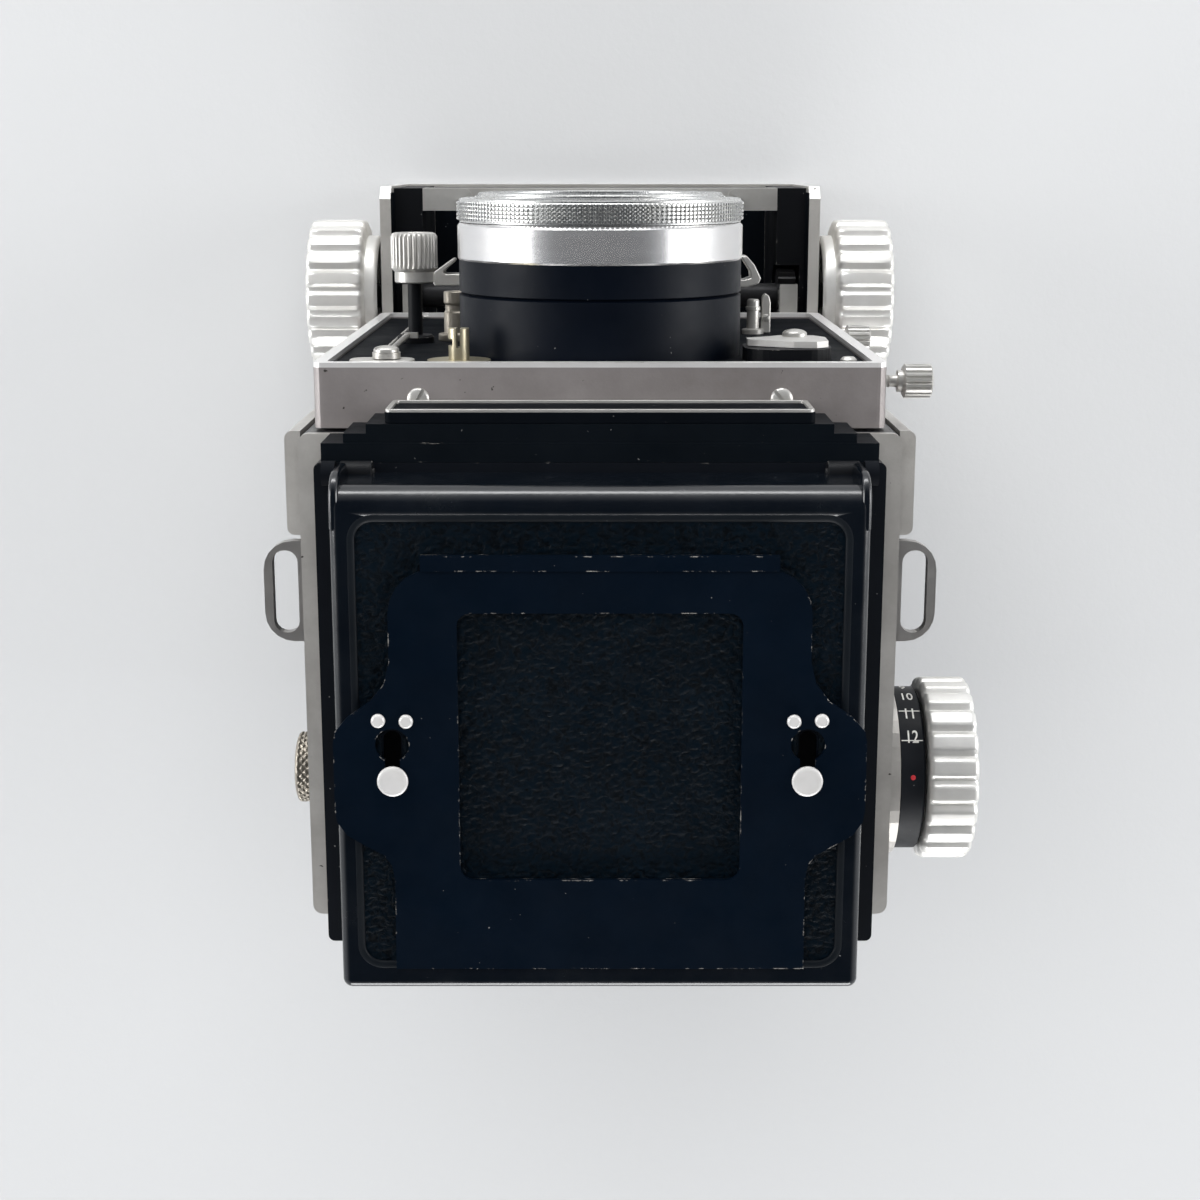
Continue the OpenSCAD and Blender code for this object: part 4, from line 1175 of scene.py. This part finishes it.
# ---- studs and rivets of the mask plate
plate_top = box_mm("mask_studs")[1][2] - 0.72
HEADS = ((30, 8.3, 2.25, "stud"), (31.9, -0.8, 1.02, "rivet_outer"), (27.9, -0.7, 1.02, "rivet_inner"))
for side, hand in ((-1, "right"), (1, "left")):
    for x, y, r, label in HEADS:
        profile = [(0, -2.4), (1.05, -2.4), (1.05, 0)] if label == "stud" else [(0, 0)]
        profile += [(r, 0), (r, 0.3), (r - 0.12, 0.48), (r * 0.72, 0.58), (r * 0.7, 0.56), (r * 0.3, 0.62)]
        profile.append((0, 0.63))
        head = lathe(f"mask_{label}_{hand}", profile, (x * side, y, plate_top), Z_AXIS, 48, sharp=50)
        piece(head, "mask_plate", "chrome", "mask_studs", look=OWN["mask_studs"])

# ---- name plate: black block, bright border, blank field
front, back = np_lo[1], np_hi[1]
outline = round_rect(*face_of("nameplate", 0, 2), 1.0)
plate = prism("nameplate_block", outline, "y", back, front + 0.42)
piece(plate, "camera_body", "gloss_black", "nameplate", look=OWN["lens_board"])
outer = round_rect(*face_of("nameplate", 0, 2, -0.1), 1.0)
inner = round_rect(np_lo[0] + 0.85, np_hi[0] - 0.85, np_lo[2] + 0.9, np_hi[2] - 0.9, 0.6)
rows = ((outer, front + 0.5), (outer, front), (inner, front), (inner, front + 0.5))
verts = [(x, y, z) for outline, y in rows for x, z in outline]
n = len(outer)
faces = [f for row in range(4) for f in band(row * n, (row + 1) % 4 * n, n)]
border = closed_mesh("nameplate_border", verts, faces, 32)
bevel(border, 0.1)
piece(border, "camera_body", "steel", "nameplate")

# ---- levers round the shutter


def shutter_lever(name, node, back, thick, turn, outline, reach, z_off):
    """A thin ring segment with an arm; the tab at its end is an outline in plan (X, Y) pushed along Z."""
    verts, faces = [], []
    steps = 28
    for level in (back, back - thick):
        for k in range(steps + 1):
            a = radians(turn - 28 + 56 * k / steps)
            verts += [(r * cos(a), level, take_z + r * sin(a)) for r in (25.3, 26.8)]
    row = (steps + 1) * 2
    for i in range(0, steps * 2, 2):
        faces += [(i, i + 1, i + 3, i + 2), (row + i, row + i + 2, row + i + 3, row + i + 1),
                (i, i + 2, row + i + 2, row + i), (i + 1, row + i + 1, row + i + 3, i + 3)]
    faces += [(0, row, row + 1, 1), (row - 2, row - 1, 2 * row - 1, 2 * row - 2)]
    ring = closed_mesh(name + "_ring", verts, faces, 30)
    bevel(ring, 0.15)
    piece(ring, node, "steel", node)
    z = take_z + z_off
    piece(prism(name + "_tab", outline, "z", z - reach, z + reach, 0.25), node, "steel", node)


shutter_lever("aperture_arm", "aperture_lever", -56.2, 1.3, 10,
        [(25.6, -56.3), (30.9, -56.3), (31.2, -56.9), (31.2, -58.4), (30.8, -59.0), (27.4, -61.4),
        (26.9, -61.0), (29.2, -58.9), (28.8, -58.5), (25.6, -58.5)],
        2.6, 5.2)
shutter_lever("cocking_arm", "cocking_lever", -56.5, 1.6, 155,
        [(-23.4, -56.6), (-26.8, -56.6), (-29.0, -57.2), (-29.4, -58.2), (-28.2, -60.6), (-26.8, -62.2),
        (-25.6, -62.2), (-27.4, -59.4), (-27.6, -58.3), (-26.4, -57.9), (-23.4, -58.1)],
        2.8, 13.2)

# post of the cocking stop, its guide plate, and the dark sync socket
profile = [(0, 48), (2, 48), (2, 48.8), (1.15, 49), (1.15, 52.2), (1.35, 52.3), (1.35, 52.9), (1.15, 53),
        (1.15, 54), (0.9, 54.3), (0, 54.3)]
post = lathe("cocking_stop_post", profile, (-28.2, 0, 75), -Y_AXIS, 32)
on_standard(post, "steel", "sync_socket")
outline = [(-29.7, -48), (-31.5, -48), (-31.5, -53.6), (-31.2, -54.8), (-30.5, -55.3), (-29.9, -54.6)]
on_standard(prism("cocking_stop_plate", outline, "z", 72.4, 74.6, 0.25))
screw_head("cocking_stop_screw", (-30.6, -50.8, 74.6), Z_AXIS, 0.75, 0.4, 40)
profile = fillet([(0, 53.8), (1.2, 53.8), (1.2, 56.6), (2.2, 56.6), (2.2, 54.6), (1.95, 54.3), (1.95, 53.2),
        (2.2, 52.9), (2.2, 49.3), (3.2, 49.2), (3.2, 48), (0, 48)], 0.15)
socket = lathe("sync_socket_barrel", profile, (25.5, 0, 88.4), -Y_AXIS, 48)
on_standard(socket, "dark_nickel", "sync_socket")
WIRE_Y = -48.36
wire = [(34.6, 41.6), (35.5, 41.9)] + straight(35.9, 42.6, 80, 20) + [(35.5, 123.6), (34.6, 124.2)]
on_standard(tube("board_spring_wire", [(x, WIRE_Y, z) for x, z in wire], 0.3))
profile = [(0, 48), (1.3, 48), (1.3, 48.5), (0.9, 48.9), (0, 49)]
on_standard(lathe("board_screw", profile, (-39.4, 0, 127.4), -Y_AXIS, 32))
